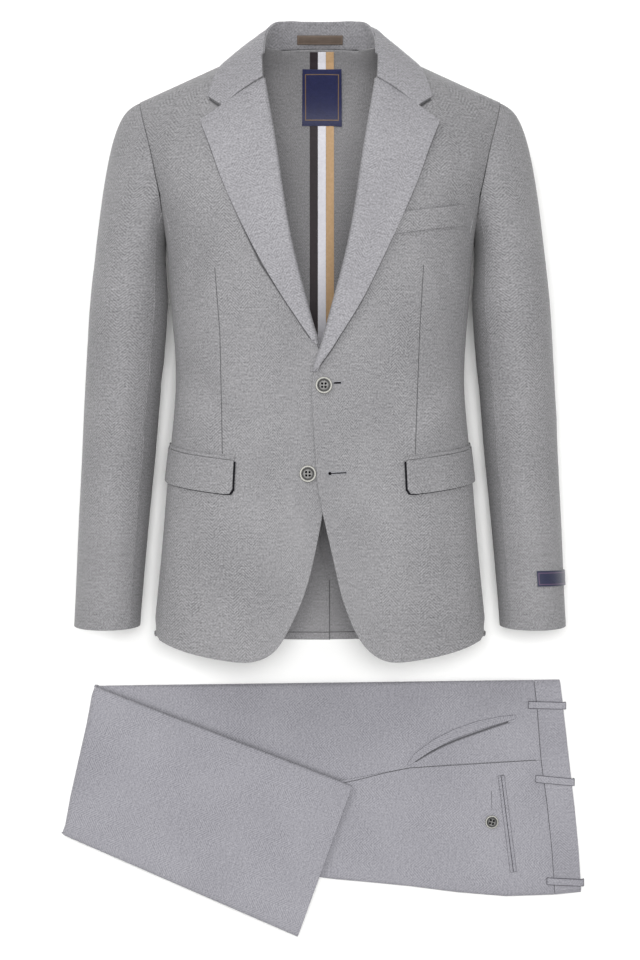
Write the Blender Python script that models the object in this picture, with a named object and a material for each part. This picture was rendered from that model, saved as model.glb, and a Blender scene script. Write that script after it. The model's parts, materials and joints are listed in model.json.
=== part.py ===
"""Unlined two-piece suit lying on a surface: a filled-out jacket on its back above folded trousers.

Sizes are in millimetres and turned into metres when a mesh is made. +X is to the right, +Y is
towards the collar, +Z is up from the surface that the suit lies on. The wearer's left side is at +X.
"""

from math import asin, cos, degrees, pi, radians, sin, sqrt

import bmesh
import bpy
from mathutils import Matrix, Vector

MM = 0.001
# Middle of the whole suit's outline, which becomes the origin
MIDDLE_X, MIDDLE_Y = 3.0, -7.5

# Cloth and gaps
CLOTH = 2.0
SEAM_GAP = 0.3
LAY_GAP = 0.8
SHARP_DEGREES = 40.0
# The overlapping front rides this far above the other one, fading out over these distances
OVERLAP_LIFT = 3.4
OVERLAP_FROM_X, OVERLAP_FADE_X = 80.0, 60.0
OVERLAP_FROM_Y, OVERLAP_FADE_Y = 300.0, 120.0
# Along the shoulder the front's edge stands this far above the back's middle line, the back's below it
SHOULDER_PART = 0.25

# Jacket body: rows of (y, half width, z of the side, depth in front, depth behind)
BODY = (
    (-230, 208, 97, 103, 101),
    (-187, 205, 98, 105, 102),
    (-148, 201, 99, 106, 103),
    (-99, 196, 100, 107, 103),
    (-49, 191.5, 101, 108, 102),
    (0, 188, 101, 110, 99),
    (50, 183, 101, 113, 96),
    (110, 177, 101, 116, 94),
    (150, 178, 101, 121, 96),
    (200, 182, 101, 127, 101),
    (250, 186, 101, 134, 105),
    (302, 190, 101, 138, 106),
    (342, 202, 102, 138, 107),
    (383, 217, 103, 136, 107),
    (430, 227, 105, 132, 107),
    (465, 232, 107, 130, 107),
    (531, 236, 119, 127, 106),
    (570, 238, 122, 125, 106),
)
SECTION_POWER = 2.4
NECK_X, NECK_Y, NECK_RISE = 70.0, 531.0, 30.0
SHOULDER_SLOPE = 0.4375
FRONT_CLOSE_FROM, FRONT_CLOSE_POWER = 330.0, 2.0
BACK_CLOSE_FROM, BACK_CLOSE_POWER = 430.0, 2.2
BACK_NECK_Y = 540.0
SIDE_HEM_Y = -186.0
FRONT_HEM_DROP, BACK_HEM_DROP, HEM_POWER = 36.0, 18.0, 1.3
FRONT_SEAM_ANGLE, BACK_SEAM_ANGLE = 19.0, -25.0

# Soft folds in the body: rows of (x, y, half length, half width, turn in degrees, depth)
BODY_FOLDS = (
    (62, 92, 62, 13, 24, 2.2),
    (-66, 88, 66, 13, -22, 2.4),
    (128, 262, 60, 16, -58, 2.6),
    (-130, 258, 62, 16, 58, 2.4),
    (150, -40, 70, 15, 78, 1.8),
    (-148, -52, 66, 15, -80, 1.8),
)

# Armhole: stations round it, from the shoulder tip over the front and back to the tip
STATIONS = 24
STATION_DEGREES = 360.0 / STATIONS
FRONT_STATIONS, SIDE_STATIONS = 8, 8
ARM_CENTRE_Y, ARM_HALF_Y = 383.25, 81.25
# rows of (y, x in front, x behind)
ARMHOLE = (
    (342, 193, 187),
    (365, 198, 189),
    (391, 203, 193),
    (415, 209, 198),
    (440, 216, 206),
    (455, 219.5, 214),
    (464.5, 222, 222),
)

# Jacket front below the armhole: rows of (y and x of the overlapping front's edge,
# y and x of the overlapped front's edge, y at the side seam)
FRONT_ROWS = (
    (-217.7, 87, -217.7, 87, None),
    (-213, 69, -214.5, 69, -191),
    (-201, 55, -206.5, 55.5, -182),
    (-184, 43, -194, 45.5, -169),
    (-162, 34, -176, 36, -151),
    (-141, 26, -152.6, 24.3, -130),
    (-105, 18, -119.5, 12.4, -98),
    (-60, 8, -60, 0, -54),
    (-15, -3, -15, -7, -8),
    (34, -5.5, 34, -10, 38),
    (80, -9, 80, -10, 86),
    (108, -10, 108, -10, 132),
    (125, -8, 125, -8, 170),
    (145, -1, 145, -1, 205),
    (170, 6.5, 170, 6.5, 240),
    (196, 13.5, 196, 13.5, 274),
    (218, 19.5, 218, 19.5, 308),
)
# Roll line beside the armhole's front stations, lowest first: rows of (y, x)
ROLL_ROWS = (
    (240, 25.5),
    (281, 36),
    (330, 44.5),
    (377, 51),
    (415, 57),
    (442, 62),
    (479, 68),
    (508, 69.5),
    (531, 70),
)
FRONT_COLUMNS = 7

# Jacket back: its rows meet the front's at the side seam and sag towards the centre of the hem;
# beside the armhole's back stations the centre seam has the heights below, lowest first
BACK_SAG, BACK_SAG_POWER = 9.0, 6
BACK_ARM_ROWS = (340, 372, 405, 438, 466, 490, 512, 528, 540)
BACK_COLUMNS = 7
NECK_COLUMNS = 3
VENT_TOP_Y, VENT_STEP = -102.0, 26.0
VENT_UNDER_X, VENT_OVER_X = 16.0, 13.0
# The outer side of the vent is raised above the other one, fading out over these distances
VENT_FADE_X, VENT_FADE_WIDTH, VENT_RISE_Y = 68.0, 20.0, 30.0

# Lapel: rows of (y on the roll line, y and x on the outer edge)
LAPEL_ROWS = (
    (128, 130, -4),
    (145, 152, 12),
    (163, 172, 24.5),
    (196, 208, 47),
    (218, 232, 59),
    (240, 255, 70),
    (281, 291, 87),
    (330, 332, 105),
    (377, 366, 119),
    (415, 388, 126),
    (442, 404, 132.5),
    (478.5, 426, 141),
)
# The lapel under the other one starts with these rows, in place of the first UNDER_SKIPS
UNDER_LAPEL_ROWS = (
    (160, 163.5, 8.5),
    (170, 179, 19),
    (196, 207, 38),
    (218, 231, 53),
    (240, 254, 66.5),
    (281, 291, 86),
)
UNDER_SKIPS = 7
LAPEL_LIFT = 5.4
# Shares of a lapel's width at its columns, after the two columns that roll over the front's edge
LAPEL_ACROSS = (0.06, 0.3, 0.6, 0.85, 1.0)
# The two rolled columns: rows of (distance out from the edge, lift, way out in x and z)
ROLL = (
    (2.8, -0.4, -1.0, 0.0),
    (1.6, 3.6, -0.7, 0.7),
)
# How far a lapel's way out leans to straight up
LAPEL_UPRIGHT = 0.3

# Collar, from the middle of the back to the gorge: rows of
# (fold x, fold y, fold z, edge x, edge y, edge face: behind -1, ridge 0, front 1)
COLLAR_ROWS = (
    (0, 566, 76, 0, 519, -1),
    (24, 566, 78, 27, 520, -1),
    (46, 565.5, 88, 58, 521, -1),
    (63, 559.5, 105, 88, 524, 0),
    (69, 546.5, 130, 108, 517.5, 0),
    (70.5, 531, 154, 120, 501, 1),
    (70.5, 515, 173, 127, 483, 1),
    (69.5, 498, 190, 133.5, 457.5, 1),
    (68.5, 480.5, 203, 116, 444.5, 1),
)
COLLAR_SHARES = (0.0, 0.12, 0.35, 0.6, 0.82, 1.0)
COLLAR_BULGE = 3.0
# The collar's edge lies this far off the body; over the ridge it stands out this far, leaning so in x and y
COLLAR_OFF, RIDGE_OFF, RIDGE_LEAN = 3.2, 2.0, (0.25, 1.0)
STAND_ROWS = 6
# The stand's top lies this far inside the fold and below it; its base lies so far above the neck seam
STAND_INSET, STAND_BELOW, STAND_ABOVE = 2.5, 1.5, 2.6

# Sleeve below the arm: rows of (y, centre x, half width, centre z, half depth)
SLEEVE = (
    (215, 237, 49, 88, 68),
    (149, 241.8, 48.5, 78, 64),
    (99, 246.8, 47.2, 71, 61),
    (50, 249.9, 46.6, 66, 58),
    (0, 253.6, 45.3, 65, 55),
    (-50, 257.3, 44.1, 68, 51),
    (-100, 259.9, 42.9, 74, 48),
    (-149, 262.4, 41.6, 82, 45),
    (-180, 263.7, 41.4, 88, 43),
)
# The same rows with the height turned over, so that it rises along the table
SLEEVE_UP = tuple((-row[0], *row[1:]) for row in SLEEVE)
CAP_RINGS = 6
CUFF_TILT = 4.0
# Sleeve head: how it leaves the armhole and arrives at the arm, each with the part that turns with
# the cosine (and, for the height, the sine)
CAP_START = SEAM_GAP + 0.1
CAP_LEAVE, CAP_LEAVE_TURN = (23.0, -8.0, 0.0), (17.0, 12.0, 5.0)
CAP_ARRIVE, CAP_ARRIVE_TURN = (-7.5, 77.5), (-7.5, 42.5)
TOP_SLEEVE_FROM, TOP_SLEEVE_TO = -5, 9
SEAM_TURN = 0.2
# Soft folds in the sleeve: rows of (y, angle, half length, half width in degrees, depth)
SLEEVE_FOLDS = (
    (150, 60, 30, 26, 2.6),
    (96, 120, 26, 24, 2.4),
    (48, 70, 20, 30, 2.6),
    (12, 110, 18, 28, 2.0),
    (-62, 60, 26, 24, 1.8),
    (60, 250, 24, 30, 2.4),
)

# Flap pocket, breast welt
FLAP_INNER_ANGLE, FLAP_OUTER_ANGLE = 61.0, -2.0
FLAP_TOP_INNER_Y, FLAP_TOP_OUTER_Y = 23.0, 42.0
FLAP_LENGTH, FLAP_DEPTH = 150.0, 41.0
FLAP_CORNER, FLAP_SPREAD = 7.0, 0.6
FLAP_SHARES = (0.0, 0.02, 0.06, 0.14, 0.26, 0.38, 0.5, 0.62, 0.74, 0.86, 0.94, 0.98, 1.0)
JET_GAP, JET_HEIGHT = 0.6, 4.0
WELT_INNER_X, WELT_OUTER_X = 76.0, 172.0
WELT_INNER_Y, WELT_OUTER_Y = 287.0, 304.5
WELT_HEIGHT = 24.5
WELT_COLUMNS, WELT_LIFT = 9, 2.8

# Buttons
BUTTON_RADIUS, BUTTON_THICK = 10.0, 4.2
TOP_BUTTON = (4.5, 112.0)
LOW_BUTTON = (-14.3, 7.5)
TROUSER_BUTTON_RADIUS = 8.5
TROUSER_BUTTON = (219.0, -435.7)
BUTTON_HOLE_RADIUS, BUTTON_HOLE_SPREAD = 1.05, 2.3
BUTTON_SEGMENTS = 16
# A button's section from its front's middle to its back's: rows of (share of radius, share of thickness)
BUTTON_PROFILE = (
    (0, 0.55),
    (0.52, 0.5),
    (0.62, 0.6),
    (0.74, 0.94),
    (0.86, 1.0),
    (0.97, 0.8),
    (1.0, 0.5),
    (0.9, 0.12),
    (0.7, 0),
    (0, 0),
)

# Tape and labels inside the jacket
TAPE_EDGES = (-15.6, -5.2, 5.2, 15.6)
TAPE_SHIFT = 2.4
TAPE_THICK, TAPE_LIFT = 1.0, 1.4
TAPE_BOTTOM_Y = -20.0
TAPE_TOP_SHORT = 1.0
LABEL_THICK = 1.0
# Lift of the neck label over the back, clear of the tape
NECK_LABEL_LIFT = 5.2
NECK_LABEL_X, NECK_LABEL_WIDTH = 2.6, 51.0
NECK_LABEL_BOTTOM_Y, NECK_LABEL_TOP_Y = 452.0, 522.0
STAND_LABEL_WIDTH, STAND_LABEL_HEIGHT = 57.0, 12.5
STAND_LABEL_RISE, STAND_LABEL_LIFT = 10.0, 8.5
SLEEVE_LABEL_Y, SLEEVE_LABEL_HEIGHT = -121.0, 19.0
SLEEVE_LABEL_FROM, SLEEVE_LABEL_TO = -12.0, 84.0

# Trousers: rows of (x, y of the front crease, y of the side seam, y of the back crease)
TROUSERS = (
    (-330, -263, -357, -449),
    (-287, -262.6, -360, -458),
    (-167, -262.6, -372, -482),
    (-60, -261, -381, -499),
    (20, -259.8, -384.5, -509.5),
    (49, -259.3, -382, -512),
    (70, -259, -374.5, -514),
    (115, -258, -367, -518.4),
    (185, -256.3, -361.5, -527),
    (256, -255.5, -358, -531.8),
    (300, -255, -356.5, -529),
    (334, -254, -355, -525.5),
)
# Waist seam and waist edge from the back crease to the front crease: rows of (share, seam x, edge x)
WAIST = (
    (0.0, 299, 333),
    (0.09, 298, 332),
    (0.37, 291, 325.5),
    (0.63, 281.5, 317),
    (0.87, 276.5, 310),
    (1.0, 272.4, 306),
)
FOLD_X_FRONT, FOLD_X_BACK = -274.0, -316.0
PANEL_TOP_Z = 11.4
# Core section beside a crease: rows of (distance inside the crease, z), from the floor up
CORE_EDGE = (
    (3.0, 0.0),
    (0.8, 1.0),
    (0.2, 2.8),
    (0.8, 4.7),
    (2.6, 5.7),
    (3.2, 6.1),
    (3.4, 7.6),
    (6.0, 9.0),
)
# Panel section beside a crease: rows of (distance inside the crease, z), from the crease in
CREASE_EDGE = (
    (0.3, 6.3),
    (0.0, 8.2),
    (1.2, 10.3),
    (4.5, 11.2),
    (12.0, PANEL_TOP_Z),
)
WAISTBAND_TOP_Z, WAISTBAND_WALL = 12.6, 3.2
# The band's creased ends: the share of its width that they take, and how far they are lowered
BAND_END, BAND_END_DROP = 0.02, 0.3
LOOP_WIDTH, LOOP_THICK = 9.4, 1.6
# Section of a belt loop: rows of (share from the seam end to the waist edge, height below its top)
LOOP_ALONG = (
    (0.0, 0.9),
    (0.14, 0.3),
    (0.3, 0.0),
    (0.9, 0.0),
    (0.985, 0.5),
)
# Beyond the waist edge: rows of (distance past the edge, height below its top)
LOOP_OVER = (
    (3.4, 2.4),
    (3.6, 7.5),
)
LOOP_LIFT = 0.8
# Belt loops: rows of (x at the seam end, x at the waist end, y at the seam end, y at the waist end)
BELT_LOOPS = (
    (265, 309.6, -286.5, -287.5),
    (274.6, 319.3, -380.5, -385.0),
    (288.7, 332.2, -511, -513),
)
# Slant pocket band: rows of (x, y on the outer side, y on the mouth side)
SLANT_BAND = (
    (112, -361.5, -366),
    (120, -350.5, -359.5),
    (143, -334, -344.5),
    (170, -320.5, -330.5),
    (200, -309.5, -319),
    (228, -302.8, -310.5),
    (250, -299.5, -304.5),
)
BAND_THICK = 1.2
BACK_POCKET_TOP = (230.8, -376.7)
BACK_POCKET_BOTTOM = (246.5, -499.6)
BACK_JET_WIDTH = 4.0

# Lower legs folded back: corners on the fold and at the hem
FOLD_FRONT = (-287.0, -262.6)
FOLD_BACK = (-329.0, -450.6)
HEM_FRONT = (41.0, -389.0)
HEM_BACK = (-28.5, -581.0)
LOWER_TOP_Z = 20.8
LOWER_CORE_EDGE = (
    (4.0, 11.9),
    (2.6, 12.8),
    (2.6, 14.6),
    (3.4, 15.2),
    (3.6, 17.0),
    (6.0, 18.3),
)
LOWER_CREASE_EDGE = (
    (0.3, 14.4),
    (0.0, 17.0),
    (1.2, 19.6),
    (4.5, 20.5),
    (12.0, LOWER_TOP_Z),
)
FOLD_RADIUS_X = 9.0
FOLD_TURNS, FOLD_WRAP = 6, 0.8 * pi

# Colours, as the shader takes them
GREY = (0.340, 0.345, 0.365)
TROUSER_GREY = (0.345, 0.345, 0.375)
BUTTON_GREY = (0.16, 0.16, 0.165)
NAVY = (0.026, 0.029, 0.093)
BROWN = (0.115, 0.083, 0.065)
TAPE_COLOURS = (
    ("tape_dark", (0.033, 0.018, 0.023)),
    ("tape_white", (0.86, 0.85, 0.88)),
    ("tape_tan", (0.65, 0.45, 0.235)),
)
CLOTH_ROUGHNESS, BUTTON_ROUGHNESS = 0.85, 0.35


def smooth_lookup(table, column, at):
    """Value of a column at a place along the table's first column, on a smooth curve through the rows."""
    keys = [row[0] for row in table]
    at = min(max(at, keys[0]), keys[-1])
    last = len(table) - 1
    i = 0
    while i < last - 1 and at > keys[i + 1]:
        i += 1

    def slope(k):
        low, high = max(k - 1, 0), min(k + 1, last)
        return (table[high][column] - table[low][column]) / (keys[high] - keys[low])

    span = keys[i + 1] - keys[i]
    t = (at - keys[i]) / span
    rise = table[i + 1][column] - table[i][column]
    start, end = slope(i) * span, slope(i + 1) * span
    bend = (3 * rise - 2 * start - end) * t**2 + (start + end - 2 * rise) * t**3
    return table[i][column] + start * t + bend


def lerp(a, b, t):
    return a + (b - a) * t


def smoothstep(t):
    t = min(max(t, 0.0), 1.0)
    return t * t * (3 - 2 * t)


def hump(t):
    """A soft bump, 1 in the middle and 0 beyond -1 and 1."""
    return (1 - t * t) ** 2 if abs(t) < 1 else 0.0


# Jacket body surface


def shoulder_y(x):
    if abs(x) < NECK_X:
        return NECK_Y + NECK_RISE * (1 - (x / NECK_X) ** 2)
    return NECK_Y - SHOULDER_SLOPE * (abs(x) - NECK_X)


def closing(x, y, start, power):
    """How far the body is still open below the shoulder ridge, from 1 to 0 on the ridge."""
    q = (y - start) / (shoulder_y(x) - start)
    q = min(max(q, 0.0), 1.0)
    return (1 - q**power) ** (1 / power)


def fold_depth(x, y):
    depth = 0.0
    for fx, fy, length, width, turn, deep in BODY_FOLDS:
        c, s = cos(radians(turn)), sin(radians(turn))
        along = ((x - fx) * c + (y - fy) * s) / length
        across = (-(x - fx) * s + (y - fy) * c) / width
        depth += deep * hump(along) * hump(across)
    return depth


def body_z(x, y, face):
    """Height of the jacket body's outer side; face is 1 in front and -1 behind."""
    half = smooth_lookup(BODY, 1, y)
    side_z = smooth_lookup(BODY, 2, y)
    share = min(abs(x) / half, 1.0)
    across = (1 - share**SECTION_POWER) ** (1 / SECTION_POWER)
    if face > 0:
        depth = smooth_lookup(BODY, 3, y) * across
        depth *= closing(x, y, FRONT_CLOSE_FROM, FRONT_CLOSE_POWER)
        return side_z + depth - fold_depth(x, y) * min(across, 1.0)
    depth = smooth_lookup(BODY, 4, y) * across
    depth *= closing(x, y, BACK_CLOSE_FROM, BACK_CLOSE_POWER)
    return max(side_z - depth, 0.0)


def body_normal(x, y, face):
    e = 0.2
    dx = (body_z(x + e, y, face) - body_z(x - e, y, face)) / (2 * e)
    dy = (body_z(x, y + e, face) - body_z(x, y - e, face)) / (2 * e)
    return Vector((-dx * face, -dy * face, face)).normalized()


def body_at(x, y, face):
    return Vector((x, y, body_z(x, y, face))), body_normal(x, y, face)


def angle_x(angle, y):
    """Distance from the centre at an angle round the section: 0 at the side, 90 at the centre."""
    return smooth_lookup(BODY, 1, y) * cos(radians(angle)) ** (2 / SECTION_POWER)


def x_angle(x, y):
    """The angle of a distance from the centre, past 90 beyond the centre."""
    share = min(abs(x) / smooth_lookup(BODY, 1, y), 1.0)
    inside = degrees(asin(min(sqrt(max(1 - (share ** (SECTION_POWER / 2)) ** 2, 0.0)), 1.0)))
    return inside if x >= 0 else 180 - inside


def hem_y(angle):
    drop = FRONT_HEM_DROP if angle > 0 else BACK_HEM_DROP
    return SIDE_HEM_Y - drop * abs(sin(radians(angle))) ** HEM_POWER


def arm_station(k):
    """Armhole point on the +X side at a whole station, with the body's normal there."""
    k %= STATIONS
    turn = radians(k * STATION_DEGREES)
    y = ARM_CENTRE_Y + ARM_HALF_Y * cos(turn)
    if k <= FRONT_STATIONS:
        return body_at(smooth_lookup(ARMHOLE, 1, y), y, 1)
    if k < FRONT_STATIONS + SIDE_STATIONS:
        angle = lerp(FRONT_SEAM_ANGLE, BACK_SEAM_ANGLE, (k - FRONT_STATIONS) / SIDE_STATIONS)
        return body_at(angle_x(angle, y), y, 1 if angle > 0 else -1)
    return body_at(smooth_lookup(ARMHOLE, 2, y), y, -1)


def arm_point(station):
    """Armhole point and normal between two stations, on the straight line that joins them."""
    low = int(station // 1)
    (a, na), (b, nb) = arm_station(low), arm_station(low + 1)
    return a.lerp(b, station - low), na.lerp(nb, station - low).normalized()


# Mesh builders


def material(name, colour, roughness):
    mat = bpy.data.materials.new(name)
    mat.use_nodes = True
    shader = mat.node_tree.nodes["Principled BSDF"]
    shader.inputs["Base Color"].default_value = (*colour, 1)
    shader.inputs["Roughness"].default_value = roughness
    return mat


def add_object(name, bm, colour, roughness=CLOTH_ROUGHNESS):
    """One named object from a closed mesh in millimetres, with its faces turned out."""
    bmesh.ops.translate(bm, vec=(-MIDDLE_X, -MIDDLE_Y, 0), verts=bm.verts)
    bmesh.ops.scale(bm, vec=(MM, MM, MM), verts=bm.verts)
    bmesh.ops.recalc_face_normals(bm, faces=bm.faces)
    mesh = bpy.data.meshes.new(name)
    bm.to_mesh(mesh)
    bm.free()
    mesh.shade_smooth()
    mesh.set_sharp_from_angle(angle=radians(SHARP_DEGREES))
    obj = bpy.data.objects.new(name, mesh)
    bpy.context.scene.collection.objects.link(obj)
    mesh.materials.append(material(name, colour, roughness))
    return obj


def sheet(name, columns, rows, place, thick=CLOTH, colour=GREY, flip=False):
    """A wall of cloth: a grid placed by place(column, row), which gives a point and its normal or None,
    then the same grid again, moved in by the thickness, closed round the edge."""
    bm = bmesh.new()
    bmesh.ops.create_grid(bm, x_segments=columns, y_segments=rows, size=0.5)
    outer = {}
    for v in bm.verts:
        key = (round((v.co.x + 0.5) * columns), round((v.co.y + 0.5) * rows))
        outer[key] = v
    placed = {key: place(*key) for key in outer}
    inner = {key: bm.verts.new(v.co) for key, v in outer.items()}
    for key, v in outer.items():
        v.co = placed[key][0]
    bm.normal_update()
    turned = -1 if flip else 1
    for key, v in outer.items():
        normal = placed[key][1]
        if normal is None:
            normal = v.normal * turned
        inner[key].co = v.co - normal * thick
    for i in range(columns):
        for j in range(rows):
            bm.faces.new([inner[k] for k in ((i, j), (i, j + 1), (i + 1, j + 1), (i + 1, j))])
    rim = [(i, 0) for i in range(columns)] + [(columns, j) for j in range(rows)]
    rim += [(i, rows) for i in range(columns, 0, -1)] + [(0, j) for j in range(rows, 0, -1)]
    for a, b in zip(rim, rim[1:] + rim[:1]):
        bm.faces.new([outer[b], outer[a], inner[a], inner[b]])
    return add_object(name, bm, colour)


def loft(name, loops, colour):
    """A solid through closed loops of the same number of points, with flat ends."""
    bm = bmesh.new()
    rings = [[bm.verts.new(p) for p in loop] for loop in loops]
    for a, b in zip(rings, rings[1:]):
        for i in range(len(a)):
            j = (i + 1) % len(a)
            bm.faces.new([a[i], a[j], b[j], b[i]])
    bm.faces.new(rings[0])
    bm.faces.new(rings[-1])
    return add_object(name, bm, colour)


# Jacket pieces; side is 1 for the wearer's left (+X) and -1 for the right


def overlap_lift(x, y, side):
    """The overlapping front rides on the other one near the centre."""
    if side < 0:
        return 0.0
    return OVERLAP_LIFT * smoothstep((OVERLAP_FROM_X - x) / OVERLAP_FADE_X) * smoothstep(
        (OVERLAP_FROM_Y - y) / OVERLAP_FADE_Y
    )


def front_piece(side):
    rows = []
    for over_y, over_x, under_y, under_x, seam_y in FRONT_ROWS:
        inner = (over_x, over_y) if side > 0 else (under_x, under_y)
        rows.append((*inner, seam_y))
    rows += [(x, y, None) for y, x in ROLL_ROWS]
    first_arm = len(FRONT_ROWS)
    last = len(rows) - 1

    def place(i, j):
        x_in, y_in, seam_y = rows[j]
        share = i / FRONT_COLUMNS
        if j >= first_arm:
            outer, normal_out = arm_station(FRONT_STATIONS - (j - first_arm))
            x_out, y_out = outer.x, outer.y
            if j == first_arm:
                x_out -= SEAM_GAP / 2
        else:
            y_out = hem_y(FRONT_SEAM_ANGLE) if seam_y is None else seam_y
            x_out = angle_x(FRONT_SEAM_ANGLE + SEAM_TURN / 2, y_out)
        angle_in, angle_out = x_angle(x_in, y_in), x_angle(x_out, y_out)
        angle = lerp(angle_in, angle_out, share)
        y = lerp(y_in, y_out, share) if j else hem_y(min(angle, 90.0))
        round_x = angle_x(angle, y) if angle <= 90 else -angle_x(180 - angle, y)
        straight = smoothstep((j - first_arm) / (last - first_arm)) if j > first_arm else 0.0
        x = lerp(round_x, lerp(x_in, x_out, share), straight)
        if i == 0:
            x = x_in
        if i == FRONT_COLUMNS:
            x = x_out
        y = lerp(y_in, y_out, (x - x_in) / (x_out - x_in)) if j else y
        point, normal = body_at(x, y, 1)
        point.z += overlap_lift(x, y, side)
        if j == last:
            point.z += SHOULDER_PART
        return mirrored(point, normal, side)

    return sheet("front_left" if side > 0 else "front_right", FRONT_COLUMNS, last, place)


def mirrored(point, normal, side):
    flip = Vector((side, 1, 1))
    return point * flip, None if normal is None else normal * flip


def side_piece(side):
    lower = [row[4] for row in FRONT_ROWS[1:]]
    rows = [None, *lower]

    def place(i, j):
        share = i / SIDE_STATIONS
        front, back = FRONT_SEAM_ANGLE - SEAM_TURN / 2, BACK_SEAM_ANGLE + SEAM_TURN / 2
        angle = lerp(front, back, share)
        if j == len(rows):
            point, normal = arm_station(FRONT_STATIONS + i)
            point = point.copy()
            if i in (0, SIDE_STATIONS):
                point.z += SEAM_GAP / 2 * (-1 if i == 0 else 1)
            return mirrored(point, normal, side)
        top = arm_station(FRONT_STATIONS + i)[0].y
        y = hem_y(angle) if rows[j] is None else rows[j]
        limit = arm_station(FRONT_STATIONS)[0].y
        if j > 0:
            y = lerp(rows[1], top, (rows[j] - rows[1]) / (limit - rows[1]))
        face = 1 if angle > 0 else -1
        return mirrored(*body_at(angle_x(angle, y), y, face), side)

    return sheet("side_left" if side > 0 else "side_right", SIDE_STATIONS, len(rows), place)


def back_rows():
    """Heights at the centre seam and at the side seam, lowest first; None is the hem."""
    seams = [row[4] for row in FRONT_ROWS[1:]]
    top = BACK_ARM_ROWS[0]
    rows = [(None, None)]
    for y in seams:
        low = (top - y) / (top - seams[0])
        rows.append((y - BACK_SAG * low**BACK_SAG_POWER, y))
    return rows + [(y, None) for y in BACK_ARM_ROWS]


def back_piece(side):
    rows = back_rows()
    first_arm = len(FRONT_ROWS)
    last = len(rows) - 1

    def vent(y):
        return smoothstep((VENT_TOP_Y - y) / VENT_STEP)

    def place(i, j):
        y_in, seam_y = rows[j]
        share = i / BACK_COLUMNS
        if j >= first_arm:
            outer, _ = arm_station(FRONT_STATIONS + SIDE_STATIONS + (j - first_arm))
            x_out, y_out = outer.x, outer.y
            if j == first_arm:
                x_out -= SEAM_GAP / 2
        else:
            y_out = hem_y(BACK_SEAM_ANGLE) if seam_y is None else seam_y
            x_out = angle_x(BACK_SEAM_ANGLE - SEAM_TURN / 2, y_out)
            y_in = hem_y(-90) if y_in is None else y_in
        if side > 0:
            x_in = lerp(SEAM_GAP / 2, -VENT_UNDER_X, vent(y_in))
        else:
            x_in = lerp(SEAM_GAP / 2, -VENT_OVER_X, vent(y_in))
        angle = lerp(90, -BACK_SEAM_ANGLE, share)
        round_x = lerp(x_in, x_out, angle_x(angle, y_out) / angle_x(-BACK_SEAM_ANGLE, y_out))
        if i <= NECK_COLUMNS:
            straight_x = lerp(x_in, NECK_X, i / NECK_COLUMNS)
        else:
            straight_x = lerp(NECK_X, x_out, (i - NECK_COLUMNS) / (BACK_COLUMNS - NECK_COLUMNS))
        straight = smoothstep((j - first_arm + 2) / (last - first_arm)) if j > first_arm - 2 else 0.0
        x = lerp(round_x, straight_x, straight)
        if i == BACK_COLUMNS:
            x = x_out
        along = (x - x_in) / (x_out - x_in)
        if j == 0:
            y = hem_y(-90 + (90 + BACK_SEAM_ANGLE) * i / BACK_COLUMNS)
        else:
            y = lerp(y_in, y_out, along)
        if j > first_arm:
            top = shoulder_y(x) if x > NECK_X else BACK_NECK_Y - (BACK_NECK_Y - NECK_Y) * (x / NECK_X) ** 2
            bump = top - lerp(BACK_NECK_Y, arm_station(0)[0].y, along)
            y += bump * ((j - first_arm) / (last - first_arm)) ** 2
        if j == last:
            y = top
        point, normal = body_at(x, y, -1)
        if side < 0:
            inside = smoothstep((VENT_FADE_X - x) / VENT_FADE_WIDTH)
            risen = smoothstep((VENT_TOP_Y + VENT_RISE_Y - y) / VENT_RISE_Y)
            point.z += (CLOTH + LAY_GAP) * risen * inside
        if j == last and x >= NECK_X - 1:
            point.z -= SHOULDER_PART
        return mirrored(point, normal, side)

    return sheet("back_left" if side > 0 else "back_right", BACK_COLUMNS, last, place)


def roll_x(y):
    """Where the front's edge turns into the lapel, on the straight lines between its rows."""
    line = [(row[0], row[1]) for row in FRONT_ROWS] + list(ROLL_ROWS)
    for (low, x_low), (high, x_high) in zip(line, line[1:]):
        if low <= y <= high:
            return lerp(x_low, x_high, (y - low) / (high - low))
    return line[-1][1]


def lapel_piece(side):
    rows = LAPEL_ROWS if side > 0 else UNDER_LAPEL_ROWS + LAPEL_ROWS[UNDER_SKIPS:]
    columns = len(LAPEL_ACROSS) + len(ROLL) - 1

    def place(i, j):
        y_in, y_out, x_out = rows[j]
        x_in = roll_x(y_in)
        if i < len(ROLL):
            out, lift, way_x, way_z = ROLL[i]
            z = body_z(x_in, y_in, 1) + overlap_lift(x_in, y_in, side) + lift
            return mirrored(Vector((x_in - out, y_in, z)), Vector((way_x, 0, way_z)).normalized(), side)
        share = LAPEL_ACROSS[i - len(ROLL)]
        x, y = lerp(x_in, x_out, share), lerp(y_in, y_out, share)
        point, normal = body_at(x, y, 1)
        normal = normal.lerp(Vector((0, 0, 1)), LAPEL_UPRIGHT).normalized()
        point += normal * LAPEL_LIFT
        point.z += overlap_lift(x, y, side)
        return mirrored(point, normal, side)

    return sheet("lapel_left" if side > 0 else "lapel_right", columns, len(rows) - 1, place)


def collar_edge(x, y, face):
    """A point of the collar's outer edge on the body, and the direction away from the body."""
    if face == 0:
        away = Vector((*RIDGE_LEAN, 0)).normalized()
        return Vector((x, y, smooth_lookup(BODY, 2, y))) + away * RIDGE_OFF, away
    point, normal = body_at(x, y, face)
    return point + normal * COLLAR_OFF, normal


def collar_row(k):
    """Fold point, edge point and direction away from the body, with k negative on the right side."""
    fx, fy, fz, ex, ey, face = COLLAR_ROWS[abs(k)]
    edge, away = collar_edge(ex, ey, face)
    flip = Vector((-1 if k < 0 else 1, 1, 1))
    return Vector((fx, fy, fz)) * flip, edge * flip, away * flip


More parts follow.
